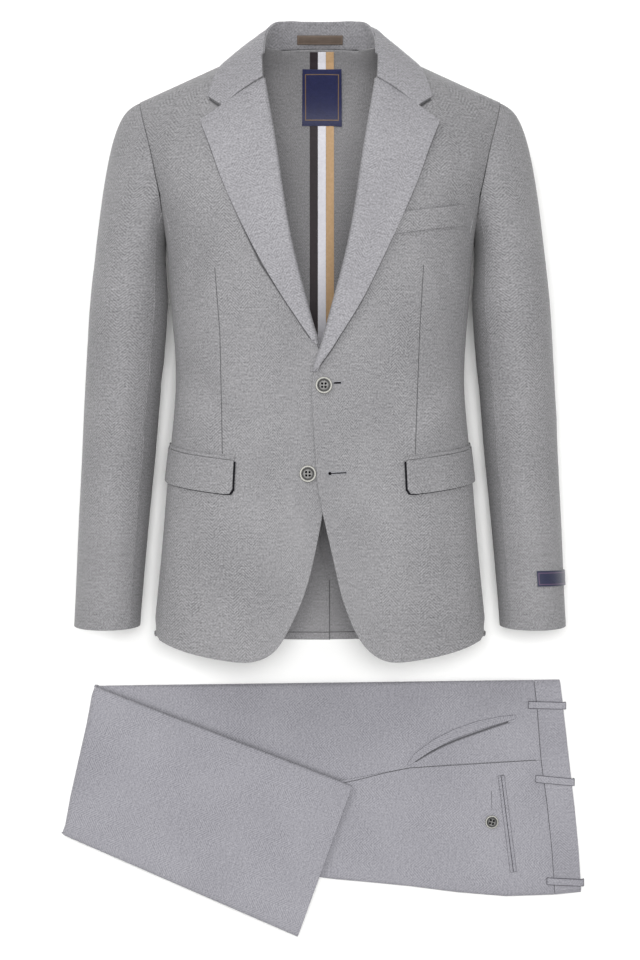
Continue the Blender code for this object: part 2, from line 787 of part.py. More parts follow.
def collar_fall():
    half = len(COLLAR_ROWS) - 1
    columns = len(COLLAR_SHARES) - 1

    def place(i, j):
        fold, edge, away = collar_row(j - half)
        share = COLLAR_SHARES[i]
        point = fold.lerp(edge, share) + away * COLLAR_BULGE * sin(pi * share)
        return point, None

    return sheet("collar_fall", columns, 2 * half, place, flip=True)


def collar_stand():
    """The band between the neck seam and the fold, inside the fall."""
    count = STAND_ROWS

    def place(i, j):
        k = j - count
        fold, edge, away = collar_row(k)
        side = -1 if k < 0 else 1
        x = abs(fold.x)
        inward = Vector((-side * (x / NECK_X), 0, 0.6 + 0.4 * (1 - x / NECK_X))).normalized()
        top = fold + inward * STAND_INSET - Vector((0, STAND_BELOW, 0))
        neck_x = min(x, NECK_X - SEAM_GAP)
        neck_y = BACK_NECK_Y - (BACK_NECK_Y - NECK_Y) * (neck_x / NECK_X) ** 2
        base = Vector((side * neck_x, neck_y, body_z(neck_x, neck_y, -1)))
        base += Vector((0, STAND_ABOVE, 0)) + inward * SEAM_GAP
        return base.lerp(top, i / 2), None

    return sheet("collar_stand", 2, 2 * count, place, flip=False)


# Sleeves


def sleeve_ring(turn, y):
    """Point of the sleeve below the arm, at a turn round it: 0 outside, 90 in front, 180 by the body."""
    cx, hx = smooth_lookup(SLEEVE_UP, 1, -y), smooth_lookup(SLEEVE_UP, 2, -y)
    cz, hz = smooth_lookup(SLEEVE_UP, 3, -y), smooth_lookup(SLEEVE_UP, 4, -y)
    shrink = 0.0
    for fy, angle, length, width, deep in SLEEVE_FOLDS:
        away = (turn - angle + 180) % 360 - 180
        shrink += deep * hump((y - fy) / length) * hump(away / width)
    a = radians(turn)
    return Vector((cx + (hx - shrink) * cos(a), y, cz + (hz - shrink) * sin(a)))


def sleeve_point(station, ring):
    """Point on the +X sleeve: ring 0 at the armhole, CAP_RINGS where the arm starts, then the rows."""
    turn = station * STATION_DEGREES
    c, s = cos(radians(turn)), sin(radians(turn))
    if ring >= CAP_RINGS:
        low = min(int(ring) - CAP_RINGS, len(SLEEVE) - 2)
        y = lerp(SLEEVE[low][0], SLEEVE[low + 1][0], ring - CAP_RINGS - low)
        point = sleeve_ring(turn, y)
        if ring > CAP_RINGS + len(SLEEVE) - 2:
            point.y -= CUFF_TILT * s * (ring - CAP_RINGS - len(SLEEVE) + 2)
        return point
    leave = Vector(CAP_LEAVE) + Vector(CAP_LEAVE_TURN) * Vector((c, c, s))
    start = arm_point(station)[0] + Vector((CAP_START, 0, 0))
    end = sleeve_ring(turn, SLEEVE[0][0])
    arrive = end + (Vector(CAP_ARRIVE) + c * Vector(CAP_ARRIVE_TURN)).to_3d()
    t = ring / CAP_RINGS
    points = (start, start + leave, arrive, end)
    weights = ((1 - t) ** 3, 3 * t * (1 - t) ** 2, 3 * t * t * (1 - t), t**3)
    return sum((p * w for p, w in zip(points, weights)), Vector())


def sleeve_normal(station, ring):
    last = CAP_RINGS + len(SLEEVE) - 1
    du = sleeve_point(station + 0.1, ring) - sleeve_point(station - 0.1, ring)
    dv = sleeve_point(station, min(ring + 0.1, last)) - sleeve_point(station, max(ring - 0.1, 0))
    return du.cross(dv).normalized()


def sleeve_piece(name, first, last, side):
    rings = CAP_RINGS + len(SLEEVE) - 1
    inset = SEAM_TURN / STATION_DEGREES

    def place(i, j):
        station = first + i
        if i == 0:
            station += inset
        if i == last - first:
            station -= inset
        return mirrored(sleeve_point(station, j), sleeve_normal(station, j), side)

    return sheet(name, last - first, rings, place)


# Pockets and small pieces on the jacket


def flap_y(share):
    return lerp(FLAP_TOP_INNER_Y, FLAP_TOP_OUTER_Y, share)


def on_body(angle, y, side, lift):
    face = 1 if angle > 0 else -1
    point, normal = body_at(angle_x(angle, y), y, face)
    return mirrored(point + normal * lift, normal, side)


def flap_piece(side):
    rows = 3

    def place(i, j):
        share = FLAP_SHARES[i]
        angle = lerp(FLAP_INNER_ANGLE, FLAP_OUTER_ANGLE, share)
        from_end = min(share, 1 - share) * FLAP_LENGTH
        corner = 0.0
        if from_end < FLAP_CORNER:
            corner = FLAP_CORNER - sqrt(FLAP_CORNER**2 - (FLAP_CORNER - from_end) ** 2)
        top = flap_y(share)
        y = lerp(top, top - FLAP_DEPTH + corner, j / rows)
        return on_body(angle, y, side, LAY_GAP + CLOTH + FLAP_SPREAD * j / rows)

    return sheet("flap_left" if side > 0 else "flap_right", len(FLAP_SHARES) - 1, rows, place)


def jet_piece(side):
    columns = 10

    def place(i, j):
        share = i / columns
        angle = lerp(FLAP_INNER_ANGLE, FLAP_OUTER_ANGLE, share)
        y = flap_y(share) + JET_GAP + j * JET_HEIGHT
        return on_body(angle, y, side, LAY_GAP + BAND_THICK)

    return sheet("jet_left" if side > 0 else "jet_right", columns, 1, place, BAND_THICK)


def breast_welt():
    def place(i, j):
        share = i / WELT_COLUMNS
        x = lerp(WELT_INNER_X, WELT_OUTER_X, share)
        y = lerp(WELT_INNER_Y, WELT_OUTER_Y, share) + j * WELT_HEIGHT / 2
        point, normal = body_at(x, y, 1)
        return point + normal * WELT_LIFT, normal

    return sheet("breast_welt", WELT_COLUMNS, 2, place, BAND_THICK)


def button(name, place, normal, radius, colour):
    """A turned button with a sunken middle and four holes, its back towards the cloth."""
    thick = BUTTON_THICK * radius / BUTTON_RADIUS
    bm = bmesh.new()
    verts = [bm.verts.new((r * radius, 0, z * thick)) for r, z in BUTTON_PROFILE]
    edges = [bm.edges.new(pair) for pair in zip(verts, verts[1:])]
    bmesh.ops.spin(
        bm,
        geom=verts + edges,
        axis=(0, 0, 1),
        cent=(0, 0, 0),
        steps=BUTTON_SEGMENTS,
        angle=2 * pi,
        use_merge=True,
    )
    bmesh.ops.remove_doubles(bm, verts=bm.verts, dist=0.001)
    turn = normal.to_track_quat("Z", "Y").to_matrix().to_4x4()
    frame = Matrix.Translation(place + normal * LAY_GAP) @ turn
    bmesh.ops.transform(bm, matrix=frame, verts=bm.verts)
    obj = add_object(name, bm, colour, BUTTON_ROUGHNESS)
    cutter_mesh = bmesh.new()
    for k in range(4):
        a = pi / 4 + k * pi / 2
        at = Matrix.Translation((BUTTON_HOLE_SPREAD * cos(a), BUTTON_HOLE_SPREAD * sin(a), thick / 2))
        bmesh.ops.create_cone(
            cutter_mesh,
            cap_ends=True,
            segments=6,
            radius1=BUTTON_HOLE_RADIUS,
            radius2=BUTTON_HOLE_RADIUS,
            depth=3 * thick,
            matrix=frame @ at,
        )
    cutter = add_object(name + "_holes", cutter_mesh, colour)
    cutter.hide_render = True
    cutter.display_type = "WIRE"
    cut = obj.modifiers.new("holes", "BOOLEAN")
    cut.object = cutter
    cut.solver = "EXACT"
    return obj


def inside_back(x, y, lift):
    """A point on the inner side of the back, moved in by lift."""
    point, normal = body_at(x, y, -1)
    return point - normal * (CLOTH + lift), -normal


def tape_piece(name, left, right, colour):
    ys = [y for y, _ in back_rows()[1:] if y > TAPE_BOTTOM_Y]
    ys[-1] -= TAPE_TOP_SHORT

    def place(i, j):
        x = lerp(left, right, i) + TAPE_SHIFT
        return inside_back(x, ys[j], TAPE_LIFT + TAPE_THICK)

    return sheet(name, 1, len(ys) - 1, place, TAPE_THICK, colour)


def neck_label():
    def place(i, j):
        x = NECK_LABEL_X + NECK_LABEL_WIDTH * (i / 4 - 0.5)
        y = lerp(NECK_LABEL_BOTTOM_Y, NECK_LABEL_TOP_Y, j / 6)
        return inside_back(x, y, NECK_LABEL_LIFT)

    return sheet("neck_label", 4, 6, place, LABEL_THICK, NAVY)


def stand_label():
    fold, _, _ = collar_row(0)
    base = Vector((0, BACK_NECK_Y, body_z(0, BACK_NECK_Y, -1)))
    along = (fold - base).normalized()
    out = Vector((1, 0, 0)).cross(along).normalized()

    def place(i, j):
        x = STAND_LABEL_WIDTH * (i / 2 - 0.5)
        rise = STAND_LABEL_RISE + STAND_LABEL_HEIGHT * j
        return base + along * rise + Vector((x, 0, 0)) + out * STAND_LABEL_LIFT, out

    return sheet("stand_label", 2, 1, place, LABEL_THICK, BROWN)


def sleeve_label():
    rings = CAP_RINGS + len(SLEEVE) - 1

    def ring_of(y):
        low = 0
        while SLEEVE[low + 1][0] > y:
            low += 1
        top, bottom = SLEEVE[low][0], SLEEVE[low + 1][0]
        return min(CAP_RINGS + low + (top - y) / (top - bottom), rings)

    def place(i, j):
        station = lerp(SLEEVE_LABEL_FROM, SLEEVE_LABEL_TO, i / 6) / STATION_DEGREES
        ring = ring_of(SLEEVE_LABEL_Y + SLEEVE_LABEL_HEIGHT * (j - 0.5))
        normal = sleeve_normal(station, ring)
        return sleeve_point(station, ring) + normal * (LAY_GAP + LABEL_THICK), normal

    return sheet("sleeve_label", 6, 1, place, LABEL_THICK, NAVY)


# Trousers


def leg_y(x, share):
    """Across the folded leg: share 0 on the back crease, 1 on the front crease."""
    return lerp(smooth_lookup(TROUSERS, 3, x), smooth_lookup(TROUSERS, 1, x), share)


def leg_x(along, share):
    """Along the leg: 0 at the fold, 1 on the waist seam."""
    return lerp(lerp(FOLD_X_BACK, FOLD_X_FRONT, share), smooth_lookup(WAIST, 1, share), along)


def seam_share(x):
    back, front = smooth_lookup(TROUSERS, 3, x), smooth_lookup(TROUSERS, 1, x)
    return (smooth_lookup(TROUSERS, 2, x) - back) / (front - back)


LEG_STATIONS = (0.0, 0.2, 0.4, 0.54, 0.62, 0.7, 0.8, 0.9, 1.0)


def trouser_core():
    """The hidden layers of both legs, as one body with two layers showing at the creases."""
    loops = []
    for along in LEG_STATIONS:
        inset = 0.4 if along < 1 else -0.4
        loop = []
        for inside, z in CORE_EDGE:
            x = leg_x(along, 0) + inset
            loop.append((x, leg_y(x, 0) + inside, z))
        for inside, z in reversed(CORE_EDGE):
            x = leg_x(along, 1) + inset
            loop.append((x, leg_y(x, 1) - inside, z))
        loops.append(loop)
    return loft("trouser_core", loops, TROUSER_GREY)


def leg_panel(name, front):
    """The cloth that shows on the upper leg, from its crease to the side seam."""
    flat_rows = 3
    rows = len(CREASE_EDGE) - 1 + flat_rows
    crease = 1 if front else 0
    sign = 1 if front else -1

    def place(i, j):
        along = LEG_STATIONS[i]
        inside, z = CREASE_EDGE[min(j, len(CREASE_EDGE) - 1)]
        t = max(j - len(CREASE_EDGE) + 1, 0) / flat_rows
        x = leg_x(along, lerp(crease, seam_share(leg_x(along, 0.6)), t))
        start = leg_y(x, crease) - sign * inside
        end = smooth_lookup(TROUSERS, 2, x) + sign * SEAM_GAP / 2
        y = lerp(start, end, t)
        share = (y - leg_y(x, 0)) / (leg_y(x, 1) - leg_y(x, 0))
        return Vector((leg_x(along, share), y, z)), None

    return sheet(name, len(LEG_STATIONS) - 1, rows, place, colour=TROUSER_GREY, flip=front)


def waistband():
    """The band folded flat: near and far walls joined at both creases, open at the waist."""
    top, wall = WAISTBAND_TOP_Z, WAISTBAND_WALL
    seam = seam_share(leg_x(1, 0.6))
    shares = [0.0, BAND_END] + [seam * k / 3 for k in (1, 2)] + [lerp(seam, 1.0, k / 3) for k in range(3)]
    shares += [1 - BAND_END, 1.0]

    def section(column, shift, inset, low, high):
        loop = []
        for share in shares:
            x = smooth_lookup(WAIST, column, share) + shift
            y = leg_y(x, share)
            y += inset if share == 0 else -inset if share == 1 else 0
            drop = BAND_END_DROP if share in (0.0, 1.0) else 0.0
            loop.append((x, y, high - (high - low) * drop))
        for share in reversed(shares):
            x = smooth_lookup(WAIST, column, share) + shift
            y = leg_y(x, share)
            y += inset if share == 0 else -inset if share == 1 else 0
            drop = BAND_END_DROP if share in (0.0, 1.0) else 0.0
            loop.append((x, y, low + (high - low) * drop))
        return loop

    start = 2 * SEAM_GAP
    outer = [section(1, start, 0, 0, top), section(2, 0, 0, 0, top)]
    inner = [section(1, start, wall, wall, top - wall), section(2, 0, wall, wall, top - wall)]
    bm = bmesh.new()
    loops = [[bm.verts.new(p) for p in loop] for loop in (*outer, *reversed(inner))]
    for a, b in zip(loops, loops[1:] + loops[:1]):
        for i in range(len(a)):
            j = (i + 1) % len(a)
            bm.faces.new([a[i], a[j], b[j], b[i]])
    return add_object("waistband", bm, TROUSER_GREY)


def belt_loop(number, x_seam, x_waist, y_seam, y_waist):
    """A strip over the waistband, down on the leg at the seam end and over the waist edge."""
    high = WAISTBAND_TOP_Z + LOOP_LIFT + LOOP_THICK
    share_up = (y_waist - leg_y(x_waist, 0)) / (leg_y(x_waist, 1) - leg_y(x_waist, 0))
    x_waist = smooth_lookup(WAIST, 2, share_up) + 2 * SEAM_GAP

    def place(i, j):
        across = LOOP_WIDTH * (j - 0.5)
        if i < len(LOOP_ALONG):
            share, below = LOOP_ALONG[i]
            x = lerp(x_seam, x_waist, share)
        else:
            out, below = LOOP_OVER[i - len(LOOP_ALONG)]
            x = x_waist + out
        y = lerp(y_seam, y_waist, min((x - x_seam) / (x_waist - x_seam), 1.0))
        return Vector((x, y + across, high - below)), None

    columns = len(LOOP_ALONG) + len(LOOP_OVER) - 1
    return sheet(f"belt_loop_{number}", columns, 1, place, LOOP_THICK, TROUSER_GREY)


def slant_pocket():
    def place(i, j):
        x, outer_y, mouth_y = SLANT_BAND[i]
        z = PANEL_TOP_Z + SEAM_GAP + BAND_THICK
        return Vector((x, lerp(mouth_y, outer_y, j), z)), Vector((0, 0, 1))

    return sheet("slant_pocket_edge", len(SLANT_BAND) - 1, 1, place, BAND_THICK, TROUSER_GREY)


def back_pocket_jet(name, offset):
    top, bottom = Vector((*BACK_POCKET_TOP, 0)), Vector((*BACK_POCKET_BOTTOM, 0))
    along = (bottom - top).normalized()
    across = Vector((-along.y, along.x, 0))

    def place(i, j):
        point = top.lerp(bottom, j) + across * (offset + BACK_JET_WIDTH * i)
        point.z = PANEL_TOP_Z + SEAM_GAP + BAND_THICK
        return point, Vector((0, 0, 1))

    return sheet(name, 1, 1, place, BAND_THICK, TROUSER_GREY)


def lower_plan(along, share):
    """Plan of the folded-back legs: along 0 at the hem and 1 at the fold, share 0 back, 1 front."""
    hem = Vector(HEM_BACK).lerp(Vector(HEM_FRONT), share)
    fold = Vector(FOLD_BACK).lerp(Vector(FOLD_FRONT), share)
    return hem.lerp(fold, along)


def lower_across():
    """Direction from the back crease to the front crease, in the plan."""
    return (Vector(HEM_FRONT) - Vector(HEM_BACK)).normalized()


def lower_core():
    across = lower_across()
    length = (Vector(HEM_FRONT) - Vector(FOLD_FRONT)).length
    loops = []
    for along in (3.0 / length, 0.25, 0.5, 0.75, 1 - 14.0 / length):
        loop = []
        for inside, z in LOWER_CORE_EDGE:
            p = lower_plan(along, 0) + across * inside
            loop.append((*p, z))
        for inside, z in reversed(LOWER_CORE_EDGE):
            p = lower_plan(along, 1) - across * inside
            loop.append((*p, z))
        loops.append(loop)
    return loft("lower_leg_core", loops, TROUSER_GREY)


def lower_top():
    """The cloth that shows on the folded-back legs, carried round the fold to the floor."""
    across = lower_across()
    length = (Vector(HEM_FRONT) - Vector(FOLD_FRONT)).length
    flat = [0.0, 0.2, 0.4, 0.6, 0.8, 1 - FOLD_RADIUS_X * 1.6 / length]
    edge = len(LOWER_CREASE_EDGE)
    middle = 2
    rows = 2 * edge + middle

    def place(i, j):
        if j < edge:
            share, (inside, z) = 0, LOWER_CREASE_EDGE[j]
        elif j > rows - edge:
            share, (inside, z) = 1, LOWER_CREASE_EDGE[rows - j]
            inside = -inside
        else:
            share, inside, z = (j - edge + 1) / (middle + 2), 0, LOWER_TOP_Z
        if i < len(flat):
            p = lower_plan(flat[i], share) + across * inside
            return Vector((*p, z)), None
        turn = (i - len(flat) + 1) / FOLD_TURNS * FOLD_WRAP
        reach = 1 - FOLD_RADIUS_X / length * (1 - sin(turn))
        p = lower_plan(reach, share) + across * inside
        return Vector((*p, z * (1 + cos(turn)) / 2)), None

    return sheet("lower_leg_top", len(flat) - 1 + FOLD_TURNS, rows, place, colour=TROUSER_GREY, flip=True)


def build():
    for obj in list(bpy.data.objects):
        bpy.data.objects.remove(obj)
    for side in (1, -1):
        name = "left" if side > 0 else "right"
        front_piece(side)
        side_piece(side)
        back_piece(side)
        lapel_piece(side)
        sleeve_piece(f"top_sleeve_{name}", TOP_SLEEVE_FROM, TOP_SLEEVE_TO, side)
        sleeve_piece(f"under_sleeve_{name}", TOP_SLEEVE_TO, TOP_SLEEVE_FROM + STATIONS, side)
        flap_piece(side)
        jet_piece(side)
    collar_fall()
    collar_stand()
    breast_welt()
    point, normal = body_at(*TOP_BUTTON, 1)
    point.z += OVERLAP_LIFT
    button("button_top", point, normal, BUTTON_RADIUS, BUTTON_GREY)
    button("button_low", *body_at(*LOW_BUTTON, 1), BUTTON_RADIUS, BUTTON_GREY)
    for (name, colour), left, right in zip(TAPE_COLOURS, TAPE_EDGES, TAPE_EDGES[1:]):
        tape_piece(name, left + SEAM_GAP / 2, right - SEAM_GAP / 2, colour)
    neck_label()
    stand_label()
    sleeve_label()
    trouser_core()
    leg_panel("leg_front", True)
    leg_panel("leg_back", False)
    waistband()
    for number, row in enumerate(BELT_LOOPS, 1):
        belt_loop(number, *row)
    slant_pocket()
    back_pocket_jet("back_pocket_jet_upper", SEAM_GAP / 2)
    back_pocket_jet("back_pocket_jet_lower", -SEAM_GAP / 2 - BACK_JET_WIDTH)
    point = Vector((*TROUSER_BUTTON, PANEL_TOP_Z - LAY_GAP + SEAM_GAP))
    button("back_pocket_button", point, Vector((0, 0, 1)), TROUSER_BUTTON_RADIUS, BUTTON_GREY)
    lower_core()
    lower_top()


build()
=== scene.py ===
"""Looks of an unlined two-piece suit: a filled-out jacket on its back above folded trousers.

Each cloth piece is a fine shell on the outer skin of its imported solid. Places are in millimetres on
the suit's own plan: X to the right, Y towards the collar, Z up from the surface it lies on.
"""

import json
from math import atan2, copysign, cos, degrees, hypot, pi, radians, sin

import bmesh
import bpy
from mathutils import Matrix, Vector
from mathutils.bvhtree import BVHTree

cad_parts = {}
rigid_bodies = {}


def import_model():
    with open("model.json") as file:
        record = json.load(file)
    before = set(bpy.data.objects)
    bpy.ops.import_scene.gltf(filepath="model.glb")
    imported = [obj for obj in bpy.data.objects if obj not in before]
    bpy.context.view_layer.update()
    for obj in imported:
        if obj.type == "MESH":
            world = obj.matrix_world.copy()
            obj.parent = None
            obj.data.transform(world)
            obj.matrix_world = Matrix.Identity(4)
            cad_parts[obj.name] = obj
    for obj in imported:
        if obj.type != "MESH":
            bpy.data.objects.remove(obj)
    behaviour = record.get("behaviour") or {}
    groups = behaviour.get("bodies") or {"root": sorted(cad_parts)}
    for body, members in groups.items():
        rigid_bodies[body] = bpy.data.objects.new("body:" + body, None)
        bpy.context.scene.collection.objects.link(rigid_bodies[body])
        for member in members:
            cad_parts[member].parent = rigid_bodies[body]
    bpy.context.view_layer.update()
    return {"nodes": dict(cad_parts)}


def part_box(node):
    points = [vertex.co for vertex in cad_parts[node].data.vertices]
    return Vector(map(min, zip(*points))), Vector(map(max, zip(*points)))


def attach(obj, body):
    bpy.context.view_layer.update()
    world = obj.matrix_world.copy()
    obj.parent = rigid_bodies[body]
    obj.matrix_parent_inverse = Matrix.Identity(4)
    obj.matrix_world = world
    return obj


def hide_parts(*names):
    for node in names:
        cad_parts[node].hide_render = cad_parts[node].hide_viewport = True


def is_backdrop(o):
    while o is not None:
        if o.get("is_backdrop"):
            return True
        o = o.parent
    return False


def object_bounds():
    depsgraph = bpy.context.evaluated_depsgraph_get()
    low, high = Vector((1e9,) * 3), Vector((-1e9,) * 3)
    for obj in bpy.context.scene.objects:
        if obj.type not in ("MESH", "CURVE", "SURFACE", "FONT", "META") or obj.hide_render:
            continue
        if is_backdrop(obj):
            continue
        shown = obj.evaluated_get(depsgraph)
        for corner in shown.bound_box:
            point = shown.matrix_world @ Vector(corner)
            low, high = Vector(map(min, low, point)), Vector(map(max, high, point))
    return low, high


MM = 0.001
# The plan's zero, in the frame, in millimetres
PLAN_ZERO = Vector((-3.0, 7.5, 0.0))

# Camera: straight above the plan's zero
CAMERA_HEIGHT, CAMERA_LENS, SENSOR = 2.8, 82.03, 36.0
PHOTO_MIDDLE_X, PHOTO_MIDDLE_Y = 320.0, 480.0
MM_PER_PIXEL = 1.28

# Cloth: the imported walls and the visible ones
MERGE_MM = 0.01
SMOOTH_LEVELS = 3
PACKED_WALL, PACKED_TRIM, WALL_SLACK = 2.0, 1.2, 0.02
JACKET_WALL, TRIM_WALL, TROUSER_WALL, FLAP_WALL, SHADOW_SHEET_WALL = 1.8, 1.1, 1.8, 1.6, 0.4
EDGE_ROUND, TRIM_ROUND, SHADOW_SHEET_ROUND = 0.55, 0.5, 0.1
# Triangles that lie this flat and square together, in degrees, become one face
JOIN_FLAT, JOIN_SQUARE = 40.0, 60.0
# Corners that turn more than this many degrees stay sharp, and rims that turn more are rounded
CORNER_TURN, RIM_TURN, TRIM_TURN = 42.0, 62.0, 30.0
BISECT_SLACK = 0.0001
# The stand's top is STAND_DROP lower than the fold within STAND_REACH of it, but not in the middle
STAND_DROP, STAND_REACH, STAND_MIDDLE = 2.6, 7.0, 30
# The collar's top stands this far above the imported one, from this height of the plan up
COLLAR_RISE, COLLAR_RISE_FROM, COLLAR_RISE_OVER = 5.0, 538.0, 28.0
BODY_AXIS_Z, BODY_RADIUS = 101.0, 165.0
# Axis of the sleeve at +X: rows of (y, x, z)
SLEEVE_AXIS = (
    (-180, 263.7, 88),
    (0, 253.6, 65),
    (215, 237, 88),
    (330, 222, 100),
    (465, 190, 106),
)
SLEEVE_RADIUS = 50.0
# Points inside and above the neck, from which the collar's outer sides are told
NECK_INSIDE, NECK_ABOVE = Vector((0, 470, 60)), Vector((0, 480, 140))
# A stored distance that is far from any line; a piece stores up to three lines, seams and stripes of painted
# shade among them
NO_LINE, LINE_COUNT = 90.0, 3


def lerp(a, b, t):
    return a + (b - a) * t


def smoothstep(t):
    t = min(max(t, 0.0), 1.0)
    return t * t * (3 - 2 * t)


def hump(t):
    """A soft bump, 1 in the middle and 0 beyond -1 and 1."""
    return (1 - t * t) ** 2 if abs(t) < 1 else 0.0


def plan(pixel_x, pixel_y, z):
    """The point of the plan at height z that the camera sees at a place in the photo."""
    scale = MM_PER_PIXEL * (CAMERA_HEIGHT - z * MM) / CAMERA_HEIGHT
    return Vector(((pixel_x - PHOTO_MIDDLE_X) * scale, (PHOTO_MIDDLE_Y - pixel_y) * scale, z))


def to_frame(point):
    return (point + PLAN_ZERO) * MM


def from_frame(co):
    return co / MM - PLAN_ZERO


# Materials


def colour(code):
    """A hex colour as the shader takes it."""
    parts = (int(code[k : k + 2], 16) / 255 for k in (1, 3, 5))
    return (*(c / 12.92 if c <= 0.04045 else ((c + 0.055) / 1.055) ** 2.4 for c in parts), 1.0)


def add_node(tree, kind, settings=None, **links):
    """A shader node with its settings; a link's name is an input, with _ for a space, and its value is
    a number, a colour, or an output to join to it."""
    node = tree.nodes.new(kind)
    for name, value in (settings or {}).items():
        setattr(node, name, value)
    for name, value in links.items():
        key = int(name[2:]) if name.startswith("in") and name[2:].isdigit() else name.replace("_", " ")
        socket = node.inputs[key]
        if isinstance(value, bpy.types.NodeSocket):
            tree.links.new(value, socket)
        else:
            socket.default_value = value
    return node


def new_material(name):
    mat = bpy.data.materials.new(name)
    mat.use_nodes = True
    return mat, mat.node_tree, mat.node_tree.nodes["Principled BSDF"]


def maths(tree, operation, *values):
    """The output of a Math node."""
    links = {f"in{k}": value for k, value in enumerate(values)}
    return add_node(tree, "ShaderNodeMath", {"operation": operation}, **links).outputs[0]


def blend_colours(tree, share, low, high):
    """The output of a colour Mix: low where share is 0 and high where it is 1."""
    mix = add_node(tree, "ShaderNodeMix", {"data_type": "RGBA"}, in0=share, in6=low, in7=high)
    return mix.outputs[2]


def fade(tree, value, start, end, low, high):
    """A value turned smoothly from low to high as it goes from start to end."""
    settings = {"interpolation_type": "SMOOTHSTEP"}
    node = add_node(tree, "ShaderNodeMapRange", settings, in0=value, in1=start, in2=end, in3=low, in4=high)
    return node.outputs[0]


# Wool suiting: a light worsted in a herringbone, its ribs RIB apart in columns COLUMN wide, with
# fibre grains FIBRE across, slubs along the weft, and patches where the rib fades
RIB, COLUMN = 3.6, 12.0
SLUB_LONG, SLUB_HIGH = 16.0, 2.6
FIBRE, PATCH, CLOUD = 2.3, 40.0, 110.0
FIBRE_SHARE, CLOUD_SHARE, LINE_SHARE = 1.15, 0.3, 0.8
# Half width and colour of the stored lines: seams, and stripes of painted shade beside raised edges and in
# openings
LINE_HALF, LINE_COLOUR = 0.85, "#262628"
# Shares of the bump's height, and the bump's strength and depth
RIB_HEIGHT, SLUB_HEIGHT, FIBRE_HEIGHT, LINE_HEIGHT = 0.30, 0.5, 0.55, -1.6
BUMP_STRENGTH, BUMP_MM = 0.55, 0.35


def wool_suiting(name, dark, light, rib_share, slub_share, fibre_share):
    """Worsted: matt, with a faint raised rib, slubs along the weft and a soft cloudy tone, darkened towards
    LINE_COLOUR along its stored lines, which are seams and stripes of painted shade.
    """
    mat, tree, shader = new_material(name)
    weave = add_node(tree, "ShaderNodeUVMap", {"uv_map": "weave"}).outputs[0]
    apart = add_node(tree, "ShaderNodeSeparateXYZ", Vector=weave)
    u, v = apart.outputs[0], apart.outputs[1]
    along = maths(tree, "ADD", maths(tree, "PINGPONG", u, COLUMN), v)
    rib = maths(tree, "SINE", maths(tree, "MULTIPLY", along, 2 * pi / RIB))
    stretched = add_node(tree, "ShaderNodeCombineXYZ", X=maths(tree, "MULTIPLY", u, 1 / SLUB_LONG),
                         Y=maths(tree, "MULTIPLY", v, 1 / SLUB_HIGH)).outputs[0]
    slub = add_node(tree, "ShaderNodeTexNoise", Vector=stretched, Scale=1.0, Detail=2.0).outputs[0]
    fibre = add_node(tree, "ShaderNodeTexNoise", Vector=weave, Scale=1 / FIBRE, Detail=2.0).outputs[0]
    patch = add_node(tree, "ShaderNodeTexNoise", Vector=weave, Scale=1 / PATCH, Detail=1.0).outputs[0]
    cloud = add_node(tree, "ShaderNodeTexNoise", Vector=weave, Scale=1 / CLOUD, Detail=1.0).outputs[0]
    strength = fade(tree, patch, 0.35, 0.65, 0.35, 1.0)
    rib = maths(tree, "MULTIPLY", rib, strength)
    lines = add_node(tree, "ShaderNodeAttribute", {"attribute_name": "lines"}).outputs["Vector"]
    near = add_node(tree, "ShaderNodeSeparateXYZ", Vector=lines)
    seam_and_shade = None
    for k in range(LINE_COUNT):
        one = fade(tree, maths(tree, "ABSOLUTE", near.outputs[k]), 0.0, LINE_HALF, 1.0, 0.0)
        seam_and_shade = one if seam_and_shade is None else maths(tree, "MAXIMUM", seam_and_shade, one)
    tone = maths(tree, "MULTIPLY_ADD", rib, rib_share, 0.5)
    for value, share in ((slub, slub_share), (fibre, fibre_share), (cloud, CLOUD_SHARE)):
        tone = maths(tree, "MULTIPLY_ADD", maths(tree, "SUBTRACT", value, 0.5), share, tone)
    cloth = blend_colours(tree, tone, colour(dark), colour(light))
    shade = maths(tree, "MULTIPLY", seam_and_shade, LINE_SHARE)
    tree.links.new(blend_colours(tree, shade, cloth, colour(LINE_COLOUR)), shader.inputs["Base Color"])
    height = maths(tree, "MULTIPLY_ADD", rib, RIB_HEIGHT, maths(tree, "MULTIPLY", slub, SLUB_HEIGHT))
    height = maths(tree, "MULTIPLY_ADD", fibre, FIBRE_HEIGHT, height)
    height = maths(tree, "MULTIPLY_ADD", seam_and_shade, LINE_HEIGHT, height)
    bump = add_node(tree, "ShaderNodeBump", Strength=BUMP_STRENGTH, Distance=BUMP_MM * MM, Height=height)
    tree.links.new(bump.outputs[0], shader.inputs["Normal"])
    shader.inputs["Roughness"].default_value = 0.86
    shader.inputs["Specular IOR Level"].default_value = 0.25
    shader.inputs["Sheen Weight"].default_value = 0.12
    shader.inputs["Sheen Roughness"].default_value = 0.5
    return mat


def button_resin(name, dark, light):
    """Polyester resin, turned and polished: grey with soft cloudy streaks and a low gloss."""
    mat, tree, shader = new_material(name)
    place = add_node(tree, "ShaderNodeTexCoord").outputs["Object"]
    streak = add_node(tree, "ShaderNodeTexNoise", Vector=place, Scale=260.0, Detail=4.0, Distortion=1.2)
    mix = blend_colours(tree, streak.outputs[0], colour(dark), colour(light))
    tree.links.new(mix, shader.inputs["Base Color"])
    grain = add_node(tree, "ShaderNodeTexNoise", Vector=place, Scale=900.0, Detail=2.0)
    bump = add_node(tree, "ShaderNodeBump", Strength=0.1, Distance=0.1 * MM, Height=grain.outputs[0])
    tree.links.new(bump.outputs[0], shader.inputs["Normal"])
    shader.inputs["Roughness"].default_value = 0.42
    shader.inputs["Specular IOR Level"].default_value = 0.35
    return mat


